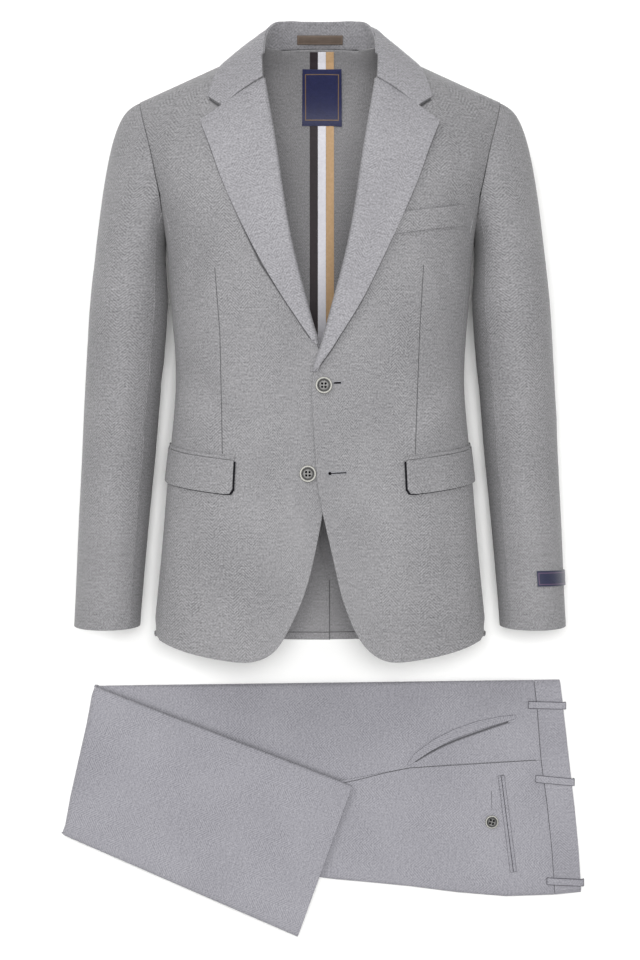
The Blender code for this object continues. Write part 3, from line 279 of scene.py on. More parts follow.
def sewing_thread(name, dark, light, shine=0.2):
    """Twisted polyester thread: fine slanting plies with a slight sheen."""
    mat, tree, shader = new_material(name)
    place = add_node(tree, "ShaderNodeTexCoord").outputs["Object"]
    plies = add_node(tree, "ShaderNodeTexWave", Vector=place, Scale=900.0, Distortion=1.0)
    mix = blend_colours(tree, plies.outputs[1], colour(dark), colour(light))
    tree.links.new(mix, shader.inputs["Base Color"])
    shader.inputs["Roughness"].default_value = 0.6
    shader.inputs["Specular IOR Level"].default_value = shine
    shader.inputs["Sheen Weight"].default_value = shine
    return mat


TAPE_RIB = 0.9


def woven_tape(name, dark, light):
    """Grosgrain tape: fine ribs across it, TAPE_RIB apart in millimetres, with a soft satin sheen."""
    mat, tree, shader = new_material(name)
    place = add_node(tree, "ShaderNodeTexCoord").outputs["Object"]
    height = add_node(tree, "ShaderNodeSeparateXYZ", Vector=place).outputs[1]
    rib = maths(tree, "SINE", maths(tree, "MULTIPLY", height, 2 * pi / (TAPE_RIB * MM)))
    cloud = add_node(tree, "ShaderNodeTexNoise", Vector=place, Scale=320.0, Detail=3.0).outputs[0]
    tone = maths(tree, "MULTIPLY_ADD", rib, 0.2, cloud)
    tree.links.new(blend_colours(tree, tone, colour(dark), colour(light)), shader.inputs["Base Color"])
    bump = add_node(tree, "ShaderNodeBump", Strength=0.5, Distance=0.15 * MM, Height=rib)
    tree.links.new(bump.outputs[0], shader.inputs["Normal"])
    shader.inputs["Roughness"].default_value = 0.55
    shader.inputs["Sheen Weight"].default_value = 0.15
    return mat


# A woven label's line, half as wide as this at full and at no strength, and its brick-like satin steps
LABEL_LINE_FULL, LABEL_LINE_NONE = 0.25, 0.75
LABEL_STEP_LONG, LABEL_STEP_HIGH, LABEL_STEP_GAP = 1.6, 0.5, 0.12


def woven_label(name, dark, light, border, half_u, half_v, inset):
    """Damask label: satin ground in fine steps, with a thin woven line set in from its edge."""
    mat, tree, shader = new_material(name)
    weave = add_node(tree, "ShaderNodeUVMap", {"uv_map": "weave"}).outputs[0]
    apart = add_node(tree, "ShaderNodeSeparateXYZ", Vector=weave)
    size = [maths(tree, "ABSOLUTE", apart.outputs[k]) for k in range(2)]
    past = [maths(tree, "SUBTRACT", one, half - inset) for one, half in zip(size, (half_u, half_v))]
    edge = maths(tree, "ABSOLUTE", maths(tree, "MAXIMUM", *past))
    line = fade(tree, edge, LABEL_LINE_FULL, LABEL_LINE_NONE, 1.0, 0.0)
    step = add_node(tree, "ShaderNodeTexBrick", {"offset": 0.5}, Vector=weave, Scale=1.0,
                    Color1=(1, 1, 1, 1), Color2=(0.7, 0.7, 0.7, 1), Mortar=(0.3, 0.3, 0.3, 1),
                    Mortar_Size=LABEL_STEP_GAP, Brick_Width=LABEL_STEP_LONG,
                    Row_Height=LABEL_STEP_HIGH).outputs[0]
    cloud = add_node(tree, "ShaderNodeTexNoise", Vector=weave, Scale=0.12, Detail=2.0).outputs[0]
    tone = maths(tree, "MULTIPLY", step, cloud)
    ground = blend_colours(tree, tone, colour(dark), colour(light))
    tree.links.new(blend_colours(tree, line, ground, colour(border)), shader.inputs["Base Color"])
    height = maths(tree, "MULTIPLY_ADD", line, 1.5, step)
    bump = add_node(tree, "ShaderNodeBump", Strength=0.35, Distance=0.15 * MM, Height=height)
    tree.links.new(bump.outputs[0], shader.inputs["Normal"])
    shader.inputs["Roughness"].default_value = 0.5
    shader.inputs["Sheen Weight"].default_value = 0.2
    return mat


# Meshes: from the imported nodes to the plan, and back as objects


def packed_mesh(node):
    """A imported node's mesh on the plan, with its loose triangles joined."""
    bm = bmesh.new()
    bm.from_mesh(frame["nodes"][node].data)
    for v in bm.verts:
        v.co = from_frame(v.co)
    bmesh.ops.remove_doubles(bm, verts=bm.verts, dist=MERGE_MM)
    return bm


def to_object(name, bm):
    """An object at the origin with this mesh, which it uses up."""
    mesh = bpy.data.meshes.new(name)
    bm.to_mesh(mesh)
    bm.free()
    obj = bpy.data.objects.new(name, mesh)
    bpy.context.scene.collection.objects.link(obj)
    return obj


def in_frame(bm):
    """The same mesh, moved from the plan to the frame."""
    for v in bm.verts:
        v.co = to_frame(v.co)
    return bm


def cloth_piece(name, bm, mat):
    """A smooth piece of one material that rides on the suit, from a mesh on the plan."""
    obj = to_object(name, in_frame(bm))
    obj.data.shade_smooth()
    obj.data.materials.append(mat)
    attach(obj, "root")
    return obj


def round_rims(obj, width, segments, turn):
    """Rounds the edges of a piece that turn more than this many degrees."""
    rounded = obj.modifiers.new("rim", "BEVEL")
    rounded.width = width * MM
    rounded.segments = segments
    rounded.limit_method = "ANGLE"
    rounded.angle_limit = radians(turn)
    return rounded


def outer_skin(node, wall, outward):
    """The outer side of a packed wall of cloth, as squares, in millimetres on the plan.
    The faces that join its two sides hold an edge as long as the wall is thick; outward(point) tells
    the outer side from the inner one."""
    bm = packed_mesh(node)
    joined = {"angle_face_threshold": radians(JOIN_FLAT), "angle_shape_threshold": radians(JOIN_SQUARE)}
    bmesh.ops.join_triangles(bm, faces=bm.faces, topology_influence=1.0, **joined)
    rim = [f for f in bm.faces if any(abs(e.calc_length() - wall) < WALL_SLACK for e in f.edges)]
    bmesh.ops.delete(bm, geom=rim, context="FACES")
    parts = []
    seen = set()
    for first in bm.faces:
        if first in seen:
            continue
        part, reached = [], [first]
        seen.add(first)
        while reached:
            face = reached.pop()
            part.append(face)
            for edge in face.edges:
                for other in edge.link_faces:
                    if other not in seen:
                        seen.add(other)
                        reached.append(other)
        parts.append(part)

    def outwards(part):
        return sum(f.calc_area() * f.normal.dot(outward(f.calc_center_median()).normalized()) for f in part)

    kept = max(parts, key=outwards)
    spare = [f for part in parts if part is not kept for f in part]
    bmesh.ops.delete(bm, geom=spare, context="FACES")
    return bm


def mark_corners(bm):
    """Keeps the sharp corners of a skin's edge when it is made finer."""
    kept = bm.verts.layers.float.new("crease_vert")
    for v in bm.verts:
        rim = [e for e in v.link_edges if e.is_boundary]
        if len(rim) == 2:
            one, other = ((e.other_vert(v).co - v.co).normalized() for e in rim)
            if degrees(one.angle(-other)) > CORNER_TURN:
                v[kept] = 1.0


def smoothed(bm, levels=SMOOTH_LEVELS):
    """The same skin, finer and smooth, with its corners kept."""
    mark_corners(bm)
    obj = to_object("skin", bm)
    finer = obj.modifiers.new("finer", "SUBSURF")
    finer.levels = finer.render_levels = levels
    finer.boundary_smooth = "PRESERVE_CORNERS"
    bpy.context.view_layer.update()
    done = bpy.data.meshes.new_from_object(obj.evaluated_get(bpy.context.evaluated_depsgraph_get()))
    bpy.data.objects.remove(obj)
    result = bmesh.new()
    result.from_mesh(done)
    return result


def sliced(bm, step):
    """The same flat skin, cut into cells of one step each way."""
    lows = [min(v.co[k] for v in bm.verts) for k in range(2)]
    highs = [max(v.co[k] for v in bm.verts) for k in range(2)]
    for k in range(2):
        way = Vector((1, 0, 0)) if k == 0 else Vector((0, 1, 0))
        at = lows[k] + step
        while at < highs[k] - step / 2:
            geom = bm.verts[:] + bm.edges[:] + bm.faces[:]
            bmesh.ops.bisect_plane(bm, geom=geom, dist=BISECT_SLACK, plane_co=way * at, plane_no=way)
            at += step
    return bm


def packed_tree(node):
    """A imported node's surface, for finding places on it."""
    packed = frame["nodes"][node].data
    return BVHTree.FromPolygons([v.co for v in packed.vertices], [p.vertices for p in packed.polygons])


def draw_close(bm, node, reach, pull):
    """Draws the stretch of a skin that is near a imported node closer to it, as sewing does."""
    tree = packed_tree(node)
    for v in bm.verts:
        place = from_frame(tree.find_nearest(to_frame(v.co))[0])
        away = (place - v.co).length
        if 0 < away < reach:
            share = min(1.0, 2 * (1 - away / reach))
            v.co += (place - v.co) / away * min(pull, away) * share


def lift_edge(bm, path, reach, high):
    """Lifts a skin off the cloth below it along a drawn edge."""
    bm.normal_update()
    for v in bm.verts:
        near = abs(line_distance(path, v.co.x, v.co.y)) / reach
        v.co += v.normal * high * hump(near)


def fold_height(folds, x, y):
    """Height of the soft folds at a place: rows of (x, y, half length, half width, turn, height)."""
    height = 0.0
    for fx, fy, length, width, turn, high in folds:
        c, s = cos(radians(turn)), sin(radians(turn))
        along = ((x - fx) * c + (y - fy) * s) / length
        across = (-(x - fx) * s + (y - fy) * c) / width
        height += high * hump(along) * hump(across)
    return height


def line_distance(path, x, y):
    """Distance from a drawn line, below 0 on its right side, and NO_LINE beyond its ends."""
    nearest = value = NO_LINE
    last = len(path) - 2
    for k, ((ax, ay), (bx, by)) in enumerate(zip(path, path[1:])):
        dx, dy = bx - ax, by - ay
        along = ((x - ax) * dx + (y - ay) * dy) / (dx * dx + dy * dy)
        t = min(max(along, 0.0), 1.0)
        away = hypot(x - ax - dx * t, y - ay - dy * t)
        if away < nearest:
            nearest = away
            beyond = (k == 0 and along < 0) or (k == last and along > 1)
            value = copysign(NO_LINE if beyond else away, dx * (y - ay) - dy * (x - ax))
    return value


def finish_shell(name, bm, wall, mat, uv_of, lines=(), edge_round=EDGE_ROUND, widths=(1, 1, 1)):
    """A finished piece: pattern coordinates and lines stored, seams and painted shade among them, wall
    given, and rims rounded.
    """
    weave = bm.loops.layers.uv.new("weave")
    for face in bm.faces:
        middle = uv_of(face.calc_center_median())
        for loop in face.loops:
            loop[weave].uv = uv_of(loop.vert.co, middle)
    seam_and_shade = bm.verts.layers.float_vector.new("lines")
    for v in bm.verts:
        near = [line_distance(path, v.co.x, v.co.y) / wide for path, wide in zip(lines, widths)]
        v[seam_and_shade] = Vector(near + [NO_LINE] * (LINE_COUNT - len(near)))
    obj = cloth_piece(name, bm, mat)
    thick = obj.modifiers.new("wall", "SOLIDIFY")
    thick.thickness = wall * MM
    thick.offset = -1
    round_rims(obj, edge_round, 2, RIM_TURN)
    return obj


# Pattern coordinates, in millimetres: u across the cloth and v along it. The second point keeps a
# face on one side of the place where an angle starts again.


def around(angle, middle_angle, radius):
    while angle - middle_angle > 180:
        angle -= 360
    while angle - middle_angle < -180:
        angle += 360
    return radians(angle) * radius


def body_uv(p, middle=None):
    angle = degrees(atan2(p.z - BODY_AXIS_Z, p.x))
    if middle is None:
        return (radians(angle) * BODY_RADIUS, p.y)
    return (around(angle, degrees(middle[0] / BODY_RADIUS), BODY_RADIUS), p.y)


def turned_uv(turn):
    """Straight from above, turned by some degrees."""
    c, s = cos(radians(turn)), sin(radians(turn))

    def uv(p, middle=None):
        return (p.x * c + p.y * s, -p.x * s + p.y * c)

    return uv


def sleeve_axis(y):
    """Centre of the sleeve at +X at a height of the plan."""
    rows = SLEEVE_AXIS
    y = min(max(y, rows[0][0]), rows[-1][0])
    for low, high in zip(rows, rows[1:]):
        if y <= high[0]:
            t = (y - low[0]) / (high[0] - low[0])
            return lerp(low[1], high[1], t), lerp(low[2], high[2], t)
    return rows[-1][1:]


def sleeve_uv(side):
    def uv(p, middle=None):
        cx, cz = sleeve_axis(p.y)
        angle = degrees(atan2(p.z - cz, p.x - side * cx))
        if middle is None:
            return (radians(angle) * SLEEVE_RADIUS, p.y)
        return (around(angle, degrees(middle[0] / SLEEVE_RADIUS), SLEEVE_RADIUS), p.y)

    return uv


# Ways out, to tell a piece's outer side


def from_body(p):
    return Vector((p.x, 0, p.z - BODY_AXIS_Z))


def from_sleeve(side):
    def way(p):
        cx, cz = sleeve_axis(p.y)
        return Vector((p.x - side * cx, 0, p.z - cz))

    return way


def from_neck(p):
    return p - NECK_INSIDE


def to_neck(p):
    return NECK_ABOVE - p


def up(p):
    return Vector((0, 0, 1))


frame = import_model()
for spare in list(bpy.data.objects):
    if spare.type in {"CAMERA", "LIGHT"}:
        bpy.data.objects.remove(spare)

suiting = wool_suiting("light_grey_worsted", "#575759", "#A09FA1", 0.16, 0.42, FIBRE_SHARE * 1.1)
facing = wool_suiting("light_grey_worsted_facing", "#636265", "#A8A7AB", 0.10, 0.42, FIBRE_SHARE)
# The backs, seen on their inner side through the neck, take the same worsted a little lighter: painted light
# against the shade down there
back_lightened_worsted = wool_suiting("light_grey_worsted_back_lightened", "#656466", "#AAA9AB", 0.12, 0.35, FIBRE_SHARE)
trouser_cloth = wool_suiting("light_grey_worsted_trousers", "#67666D", "#ACABB1", 0.14, 0.25, 0.9)
# A darker copy of the worsted, put on the rounded rims of trims as painted shade
rim_shade_worsted = wool_suiting("turned_worsted_edge", "#333238", "#58575F", 0.0, 0.3, 0.8)
# One grey resin: the rim's lighter copy is a painted highlight and the ring's darker copy is painted shade
rim_highlight_resin = button_resin("grey_button_resin_rim", "#8F8E88", "#BDBCB5")
ring_shade_resin = button_resin("grey_button_resin_ring", "#3B3B3A", "#575655")
resin_middle = button_resin("grey_button_resin_middle", "#4A4948", "#757472")
grey_thread = sewing_thread("grey_sewing_thread", "#76767A", "#9B9BA0")
# Near black: painted shade in the buttonholes' slits and eyes and deep in the buttons' holes
hole_shade_black = sewing_thread("black_buttonhole_core", "#060607", "#121214", 0.0)
# Near-black sheet under the hip flaps' edges: painted shadow
flap_shadow_sheet = sewing_thread("dark_flap_lining", "#0F0F12", "#1E1E22", 0.05)

# Soft folds on the jacket, seen from above: rows of (x, y, half length, half width, turn, height).
# Ridges are above 0 and troughs below.
FRONT_FOLDS = (
    (-152, 78, 74, 26, -52, 1.6),
    (-120, 88, 70, 22, -50, -1.5),
    (150, 76, 70, 24, 54, 1.4),
    (118, 84, 62, 20, 50, -1.3),
    (-70, 70, 60, 16, 20, -1.3),
    (72, 78, 54, 14, -24, -1.1),
    (-95, 150, 84, 20, 68, 1.0),
    (98, 160, 76, 18, -66, 0.9),
    (-150, 250, 60, 18, 70, -1.4),
    (152, 240, 56, 16, -72, -1.3),
    (-168, 330, 52, 14, 58, -1.3),
    (168, 326, 48, 14, -58, -1.2),
    (-178, 392, 40, 12, 80, 0.9),
    (180, 388, 44, 12, -84, 0.9),
    (-110, -110, 86, 26, 84, 0.9),
    (96, -120, 96, 24, -86, 0.9),
    (-160, -90, 70, 20, 86, -1.0),
    (158, -84, 76, 20, -86, -1.0),
)
# Soft folds on the sleeve at +X, over all its turns: rows of (turn, y, half turn, half height, height)
SLEEVE_FOLDS = (
    (70, 360, 60, 22, -1.5),
    (120, 318, 50, 20, 1.2),
    (60, 262, 56, 20, -1.3),
    (110, 210, 60, 22, 1.1),
    (70, 168, 60, 16, -1.6),
    (120, 132, 56, 15, 1.2),
    (66, 98, 54, 14, -1.5),
    (118, 66, 50, 14, -1.2),
    (70, 34, 56, 15, 1.0),
    (100, -6, 62, 17, -1.2),
    (64, -52, 56, 18, 0.9),
    (120, -98, 52, 16, -0.8),
    (200, 120, 46, 22, -1.3),
    (330, 70, 50, 24, 1.2),
    (260, 20, 44, 20, -1.2),
)

# Folds lie only on the front, above the body's middle less FRONT_SLACK; a sleeve's folds run aslant, and
# those under the arm and on the right are turned a little from the others, in degrees
FOLD_STRENGTH, FRONT_SLACK = 1.6, 20
FOLD_SLANT, UNDER_PHASE, RIGHT_PHASE = 0.22, 24, -14


def lay_folds(bm, folds):
    """Moves a skin on the front of the jacket in and out along its folds."""
    bm.normal_update()
    for v in bm.verts:
        if v.co.z > BODY_AXIS_Z - FRONT_SLACK:
            v.co += v.normal * FOLD_STRENGTH * fold_height(folds, v.co.x, v.co.y)


def sleeve_folds(bm, side, phase):
    """Moves a sleeve's skin in and out along its folds, which are turned by phase."""
    bm.normal_update()
    for v in bm.verts:
        cx, cz = sleeve_axis(v.co.y)
        turn = degrees(atan2(v.co.z - cz, side * v.co.x - cx)) % 360
        height = 0.0
        for at, y, half_turn, half_high, high in SLEEVE_FOLDS:
            away = (turn - at - phase + 180) % 360 - 180
            slant = (v.co.y - y - away * FOLD_SLANT * side) / half_high
            height += high * hump(away / half_turn) * hump(slant)
        v.co += v.normal * height


# Edges that stand a little off the cloth below, on the side at +X: the lapel's outer edge, and the inner and
# lower edges of the hip flap, past which a near-black sheet shows as painted shadow, by the offsets below
LAPEL_OUTER = ((70, 255), (87, 291), (105, 332), (119, 366), (132.5, 404), (141, 426))
LAPEL_LOWER = {
    "left": ((-4, 130), (12, 152), (24.5, 172), (47, 208)),
    "right": ((8.5, 163.5), (19, 179), (38, 207)),
}
LAPEL_REACH, LAPEL_HIGH = 16.0, 1.6
NOTCH_EDGE = ((134.5, 457.0), (117.0, 443.0))
FLAP_EDGE = [(p.x, p.y) for p in (plan(409.5, 458.0, 203), plan(414.0, 487.0, 200), plan(422.0, 492.5, 200))]
FLAP_REACH, FLAP_HIGH = 14.0, 1.3
SHADOW_SHEET_OUT, SHADOW_SHEET_LOWER, SHADOW_SHEET_BELOW = 2.6, 1.1, 1.75
NOTCH_REACH, NOTCH_HIGH = 12.0, 1.2
# At the hem's outer corner the side panel draws in by SIDE_IN and the back by BACK_IN
HEM_CORNER_X, HEM_CORNER_Y, HEM_CORNER_SIZE, SIDE_IN, BACK_IN = 188.0, -166.0, 18.0, 2.4, 4.6

# Sewn lines in the plan: the darts below the chest, from the photo
DARTS = {
    "left": (plan(424.4, 262, 228), plan(420.6, 330, 222), plan(415.6, 455, 205)),
    "right": (plan(213.8, 264, 228), plan(219.0, 330, 222), plan(222.0, 455, 205)),
}
# The back's turned-up hem and its vent
BACK_HEM = (plan(250, 632.0, 6), plan(329.6, 632.0, 2), plan(400, 631.0, 6))
BACK_VENT = (plan(329.6, 578, 2), plan(329.6, 640, 2))
LAPEL_TURN = -14

# Sleeve halves: rows of (name, turn of its folds, flat size, flat area)
SLEEVE_PARTS = (
    ("top", 0, (0.215, 0.67), 0.122),
    ("under", UNDER_PHASE, (0.15, 0.60), 0.073),
)


def flat_path(points):
    return [(p.x, p.y) for p in points]


def raise_top(bm):
    """Stretches the collar's back upwards to its top in the photo."""
    for v in bm.verts:
        v.co.y += COLLAR_RISE * smoothstep((v.co.y - COLLAR_RISE_FROM) / COLLAR_RISE_OVER)


def draw_in(bm, side, amount):
    """Draws a skin in at the hem's outer corner."""
    for v in bm.verts:
        v.co.x -= side * amount * hem_corner(v.co, side)


def declare(node):
    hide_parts(node)


def hem_corner(co, side):
    """1 at the hem's outer corner on one side, and 0 away from it."""
    down = smoothstep((HEM_CORNER_Y - co.y) / HEM_CORNER_SIZE)
    return down * smoothstep((side * co.x - HEM_CORNER_X) / HEM_CORNER_SIZE)


def lapel_edge(name, side):
    """The lapel's free edge, from its lowest point up."""
    return [(side * x, y) for x, y in LAPEL_LOWER[name] + LAPEL_OUTER]


for side, name in ((1, "left"), (-1, "right")):
    bm = smoothed(outer_skin(f"front_{name}", PACKED_WALL, from_body))
    lay_folds(bm, FRONT_FOLDS)
    # Beside the dart, the front carries wide stripes of painted shadow along the collar's end at the notch
    # and along the lapel's free edge
    notch = [(side * x, y) for x, y in NOTCH_EDGE]
    lines = [flat_path(DARTS[name]), notch, lapel_edge(name, side)]
    front = finish_shell(f"{name}_front", bm, JACKET_WALL, suiting, body_uv, lines, widths=(1, 3.4, 3.2))
    declare(f"front_{name}")

    bm = smoothed(outer_skin(f"side_{name}", PACKED_WALL, from_body))
    draw_in(bm, side, SIDE_IN)
    body_side = finish_shell(f"{name}_side", bm, JACKET_WALL, suiting, body_uv)
    declare(f"side_{name}")

    bm = smoothed(outer_skin(f"back_{name}", PACKED_WALL, from_body))
    draw_in(bm, side, BACK_IN)
    lines = [flat_path(BACK_HEM), flat_path(BACK_VENT)]
    back = finish_shell(f"{name}_back", bm, JACKET_WALL, back_lightened_worsted, body_uv, lines)
    declare(f"back_{name}")

    bm = smoothed(outer_skin(f"lapel_{name}", PACKED_WALL, from_body))
    lift_edge(bm, lapel_edge(name, side), LAPEL_REACH, LAPEL_HIGH)
    lapel = finish_shell(f"{name}_lapel", bm, JACKET_WALL, facing, turned_uv(side * LAPEL_TURN))
    declare(f"lapel_{name}")

    for part, phase, flat, area in SLEEVE_PARTS:
        bm = smoothed(outer_skin(f"{part}_sleeve_{name}", PACKED_WALL, from_sleeve(side)))
        sleeve_folds(bm, side, phase if side > 0 else phase + RIGHT_PHASE)
        sleeve = finish_shell(f"{name}_{part}_sleeve", bm, JACKET_WALL, suiting, sleeve_uv(side))
        declare(f"{part}_sleeve_{name}")

    bm = smoothed(outer_skin(f"flap_{name}", PACKED_WALL, from_body))
    lay_folds(bm, FRONT_FOLDS)
    lift_edge(bm, [(side * x, y) for x, y in FLAP_EDGE], FLAP_REACH, FLAP_HIGH)
    # A near-black copy of the flap, moved out and down, shows past its inner and lower edges as painted
    # shadow
    shadow_sheet = bm.copy()
    shown = (-side * SHADOW_SHEET_OUT, -SHADOW_SHEET_LOWER, -SHADOW_SHEET_BELOW)
    bmesh.ops.translate(shadow_sheet, verts=shadow_sheet.verts, vec=shown)
    finish_shell(f"{name}_flap_lining", shadow_sheet, SHADOW_SHEET_WALL, flap_shadow_sheet, body_uv, (), SHADOW_SHEET_ROUND)
    flap = finish_shell(f"{name}_pocket_flap", bm, FLAP_WALL, suiting, body_uv)
    declare(f"flap_{name}")

    bm = smoothed(outer_skin(f"jet_{name}", PACKED_TRIM, from_body))
    lay_folds(bm, FRONT_FOLDS)
    jet = finish_shell(f"{name}_pocket_jet", bm, TRIM_WALL, suiting, body_uv, (), TRIM_ROUND)
    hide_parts(f"jet_{name}")

bm = smoothed(outer_skin("breast_welt", PACKED_TRIM, from_body))
lay_folds(bm, FRONT_FOLDS)
welt = finish_shell("breast_welt_cloth", bm, TRIM_WALL, suiting, body_uv, (), TRIM_ROUND)
declare("breast_welt")

# The collar lies close on the lapels and the stand, and the stand on the backs
bm = smoothed(outer_skin("collar_fall", PACKED_WALL, from_neck))
for side in (1, -1):
    lift_edge(bm, [(side * x, y) for x, y in NOTCH_EDGE], NOTCH_REACH, NOTCH_HIGH)
raise_top(bm)
for name in ("lapel_left", "lapel_right"):
    draw_close(bm, name, reach=3.2, pull=0.7)
draw_close(bm, "collar_stand", reach=8.0, pull=2.3)
collar = finish_shell("collar_leaf", bm, JACKET_WALL, facing, turned_uv(0))
declare("collar_fall")
bm = smoothed(outer_skin("collar_stand", PACKED_WALL, to_neck))
draw_close(bm, "collar_fall", reach=5.0, pull=0.5)
fall = packed_tree("collar_fall")
for v in bm.verts:
    near = hump(min(fall.find_nearest(to_frame(v.co))[3] / MM / STAND_REACH, 1.0))
    aside = smoothstep((abs(v.co.x) - STAND_MIDDLE) / STAND_MIDDLE)
    v.co.z -= STAND_DROP * min(1.0, 2 * near) * aside
raise_top(bm)
for name in ("back_left", "back_right"):
    draw_close(bm, name, reach=5.0, pull=1.6)
stand = finish_shell("collar_band", bm, JACKET_WALL, facing, turned_uv(0))
declare("collar_stand")

# Size of a cell of the folded trousers, and how far their top left corner reaches out under the fold
LEG_CELL = 5.0
FOLD_CORNER_X, FOLD_CORNER_OVER, FOLD_CORNER_OUT = -256.0, 12, 10.0
LEG_TURN, LOWER_TURN = 84, 70

# Folded trousers: rows of (x, y, half length, half width, turn, height), low because the cloth lies flat
LEG_FOLDS = (
    (-149, -312, 170, 17, -21.2, -1.6),
    (-60, -337, 52, 4, -22, 1.2),
    (30, -330, 120, 24, -14, 0.7),
    (-70, -340, 110, 20, -18, -0.7),
    (70, -378, 60, 12, 16, -0.8),
    (40, -430, 90, 26, 10, 0.7),
    (120, -470, 110, 24, 6, -0.7),
    (180, -300, 90, 20, 10, 0.6),
    (270, -330, 16, 50, 0, 0.5),
    (262, -450, 16, 56, 0, 0.5),
)
LOWER_FOLDS = (
    (-220, -400, 130, 30, -22, 0.8),
    (-120, -450, 120, 28, -24, -0.8),
    (-90, -380, 110, 24, -20, 0.6),
    (-40, -500, 70, 20, -28, 0.6),
    (-240, -340, 100, 22, -18, -0.6),
)


def press_folds(bm, folds):
    """Raises and lowers a skin that lies flat along its folds."""
    for v in bm.verts:
        v.co.z += fold_height(folds, v.co.x, v.co.y)


def leg_path(*pixels):
    """A line on the folded legs, LEG_HEIGHT up, from its places in the photo."""
    return flat_path(plan(u, v, LEG_HEIGHT) for u, v in pixels)


LEG_HEIGHT = 12
SIDE_SEAM = leg_path((539, 760), (500, 762.5), (450, 765.5), (410, 768), (385, 773), (358, 780), (334, 785))
# The slant pocket's mouth; the wide line along it on the front leg is painted shade in the open mouth
POCKET_MOUTH = leg_path((413.3, 762.6), (426.7, 754.4), (442.7, 746.0), (458.7, 739.2), (474.7, 733.5),
                        (492.4, 727.3), (512.8, 720.6))
BACK_DART = leg_path((491.5, 790), (492, 812))
# Painted shadow under the folded leg's upper edge, where the cloth dips out of the light
UNDER_FOLD_SHADE = [(-310, -264), (38, -398)]
# Painted shade round the back pocket's two jets and between them
BACK_POCKET_SHADE = [(228.2, -377.3), (233.9, -376.3), (249.5, -498.9), (243.5, -500.1), (228.2, -377.3),
               (231, -376.8), (246.5, -499.5)]

# Each leg's first line is its side seam; the front's others are painted shade in the pocket mouth and under
# the fold, and the back's are its dart and painted shade round the back pocket
for node, name, lines, widths, flat, area in (
    ("leg_front", "front_leg", [SIDE_SEAM, POCKET_MOUTH, UNDER_FOLD_SHADE], (1, 3.2, 20), (0.15, 0.62), 0.068),
    ("leg_back", "back_leg", [SIDE_SEAM, BACK_DART, BACK_POCKET_SHADE], (1, 0.6, 1.3), (0.18, 0.62), 0.083),
):
    bm = sliced(outer_skin(node, PACKED_WALL, up), LEG_CELL)
    press_folds(bm, LEG_FOLDS)
    for v in bm.verts:
        v.co.x -= FOLD_CORNER_OUT * smoothstep((FOLD_CORNER_X - v.co.x) / FOLD_CORNER_OVER)
    leg = finish_shell(name, bm, TROUSER_WALL, trouser_cloth, turned_uv(LEG_TURN), lines, widths=widths)
    declare(node)
bm = sliced(outer_skin("lower_leg_top", PACKED_WALL, up), LEG_CELL)
press_folds(bm, LOWER_FOLDS)
lower = finish_shell("lower_leg", bm, TROUSER_WALL, trouser_cloth, turned_uv(LOWER_TURN))
declare("lower_leg_top")

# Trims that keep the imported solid's own shape, as a copy with rounded edges
# An upright corner runs this nearly up and turns by more than UPRIGHT_TURN degrees
UPRIGHT, UPRIGHT_TURN = 0.7, 50
BAND_HALF, BAND_WIDER, BAND_MIDDLE, BAND_LONG = 5.0, 2.6, 172.0, 100.0


def trim_copy(node, name, mat, uv_of, edge, corner=0.0, turned=None, shape=None):
    """A packed trim with rounded edges, its own upright corners rounded by corner, and with turned, where
    given, a darker worsted laid on its rounded rims as painted shade; shape may change it first."""
    bm = packed_mesh(node)
    bmesh.ops.dissolve_limit(bm, angle_limit=radians(1), verts=bm.verts, edges=bm.edges)
    if shape:
        shape(bm)
    if corner:
        upright = [e for e in bm.edges if abs((e.verts[0].co - e.verts[1].co).normalized().z) > UPRIGHT
                   and e.calc_face_angle(0) > radians(UPRIGHT_TURN)]
        bmesh.ops.bevel(bm, geom=upright, offset=corner, segments=4, profile=0.5, affect="EDGES",
                        material=-1)
    weave = bm.loops.layers.uv.new("weave")
    for face in bm.faces:
        for loop in face.loops:
            loop[weave].uv = uv_of(loop.vert.co)
    seam_and_shade = bm.verts.layers.float_vector.new("lines")
    for v in bm.verts:
        v[seam_and_shade] = Vector((NO_LINE,) * LINE_COUNT)
    obj = cloth_piece(name, bm, mat)
    rounded = round_rims(obj, edge, 3, TRIM_TURN)
    if turned:
        obj.data.materials.append(turned)
        rounded.material = 1
    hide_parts(node)
    return obj


def widen_band(bm):
    """Widens the slant pocket's band on the side away from its mouth."""
    for v in bm.verts:
        if abs(line_distance(POCKET_MOUTH, v.co.x, v.co.y)) > BAND_HALF:
            v.co.y += BAND_WIDER * hump((v.co.x - BAND_MIDDLE) / BAND_LONG)


trim_copy("waistband", "waistband_cloth", trouser_cloth, turned_uv(5), 0.9)
for number in (1, 2, 3):
    trim_copy(f"belt_loop_{number}", f"belt_loop_cloth_{number}", trouser_cloth, turned_uv(96), 0.8,
              turned=rim_shade_worsted)
trim_copy("slant_pocket_edge", "slant_pocket_band", trouser_cloth, turned_uv(115), 0.4,
          corner=2.0, turned=rim_shade_worsted, shape=widen_band)
for part in ("upper", "lower"):
    trim_copy(f"back_pocket_jet_{part}", f"back_pocket_edge_{part}", trouser_cloth, turned_uv(7), 0.35,
              turned=rim_shade_worsted)
for node, name, turn in (
    ("trouser_core", "hidden_leg_layers", LEG_TURN),
    ("lower_leg_core", "hidden_lower_layers", LOWER_TURN),
):
    trim_copy(node, name, trouser_cloth, turned_uv(turn), 0.3)

for node, dark, light in (
    ("tape_dark", "#1E1419", "#32262C"),
    ("tape_white", "#E2E0E8", "#FBFAFF"),
    ("tape_tan", "#BD986C", "#D8B389"),
):
    cad = frame["nodes"][node]
    cad.data.materials.clear()
    cad.data.materials.append(woven_tape(f"{node}_weave", dark, light))

